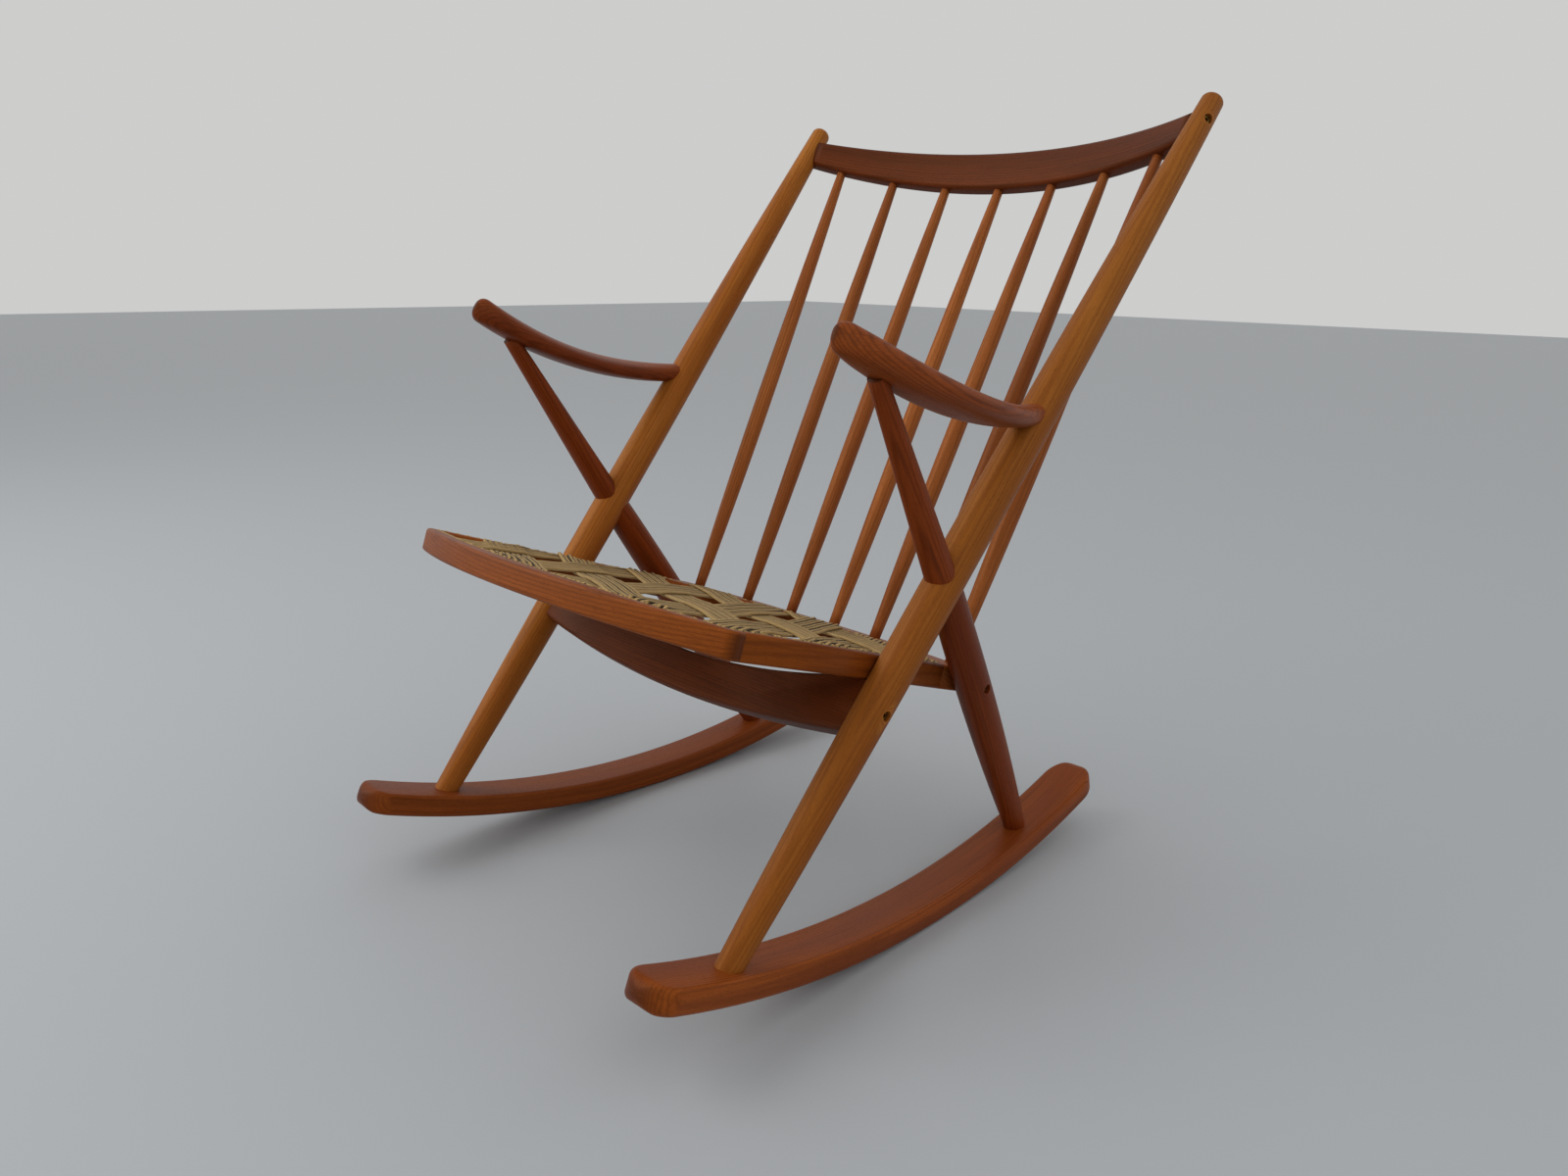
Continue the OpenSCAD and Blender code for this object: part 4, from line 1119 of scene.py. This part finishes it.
cord, cord_shader = surface("twisted brown paper cord", {"Roughness": 0.82})
twisted = attribute(cord, "twist", "Vector")
axes = node(cord, "ShaderNodeSeparateXYZ", links={"Vector": twisted}).outputs
turn = maths(cord, "ARCTAN2", axes["Y"], axes["X"])
wound = maths(cord, "MULTIPLY_ADD", turn, PLY_TURNS, maths(cord, "MULTIPLY", axes["Z"], math.pi / PLY_PITCH))
ply = maths(cord, "ABSOLUTE", maths(cord, "SINE", wound))
ageing = noise(cord, stretched(cord, twisted, AGEING_SCALE), 3)
fluff = noise(cord, stretched(cord, twisted, FLUFF_SCALE), 4)
straw = two_tones(cord, ageing, (0.3, "#a1814c"), (0.7, "#c9a668"))
# painted shade in the valleys between the plies
valley = ramp(cord, ply, 0.1, 0.6, 0.45, 1.0)
# painted shade on the flanks that face a neighbouring cord, darkest at the side facing it
flank = ramp(cord, attribute(cord, "seam"), 0.38, 0.86, 1.0, 0.13)
shaded = mixed(cord, 1.0, straw, maths(cord, "MULTIPLY", valley, flank), "MULTIPLY")
normal = raised(cord, maths(cord, "MULTIPLY_ADD", fluff, 0.5, ply), 0.8, 0.6 * MM)
join(cord, cord_shader, {"Base Color": shaded, "Normal": normal})

mesh = bpy.data.meshes.new("cords")
mesh.from_pydata([tuple(SEAT @ Vector(v)) for v in verts], [], faces)
store(mesh, "twist", [c for t in twist for c in t], "FLOAT_VECTOR")
store(mesh, "seam", seam)
mesh.shade_smooth()
mesh.materials.append(cord)
cords = placed("cords", mesh)
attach(cords, "root")
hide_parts("cord_seat")
print("cord vertices:", len(verts))

# %% [markdown]
# ## Bolts
#
# Six brass cap bolts sit at the bottom of open counterbores. They are so small that the CAD's own heads,
# with their hexagon sockets, are kept and only get a finish: brass that has gone dull and brown, darker
# in patches.

# %% Brass finish of the bolts
TARNISH_SCALE = 400
BOLTS = ("crest_bolts", "cross_rail_bolts", "seat_bolts")

brass, brass_shader = surface("dull brass", {"Metallic": 1.0, "Roughness": 0.42})
place = node(brass, "ShaderNodeTexCoord").outputs["Object"]
tarnish = noise(brass, place, 3, scale=TARNISH_SCALE)
join(brass, brass_shader, {"Base Color": two_tones(brass, tarnish, (0.35, "#4a3518"), (0.7, "#96763a"))})
for name in BOLTS:
    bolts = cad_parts[name]
    if not bolts.material_slots:
        bolts.data.materials.append(brass)
    for material_slot in bolts.material_slots:
        material_slot.material = brass
print("bolt nodes finished:", len(BOLTS))
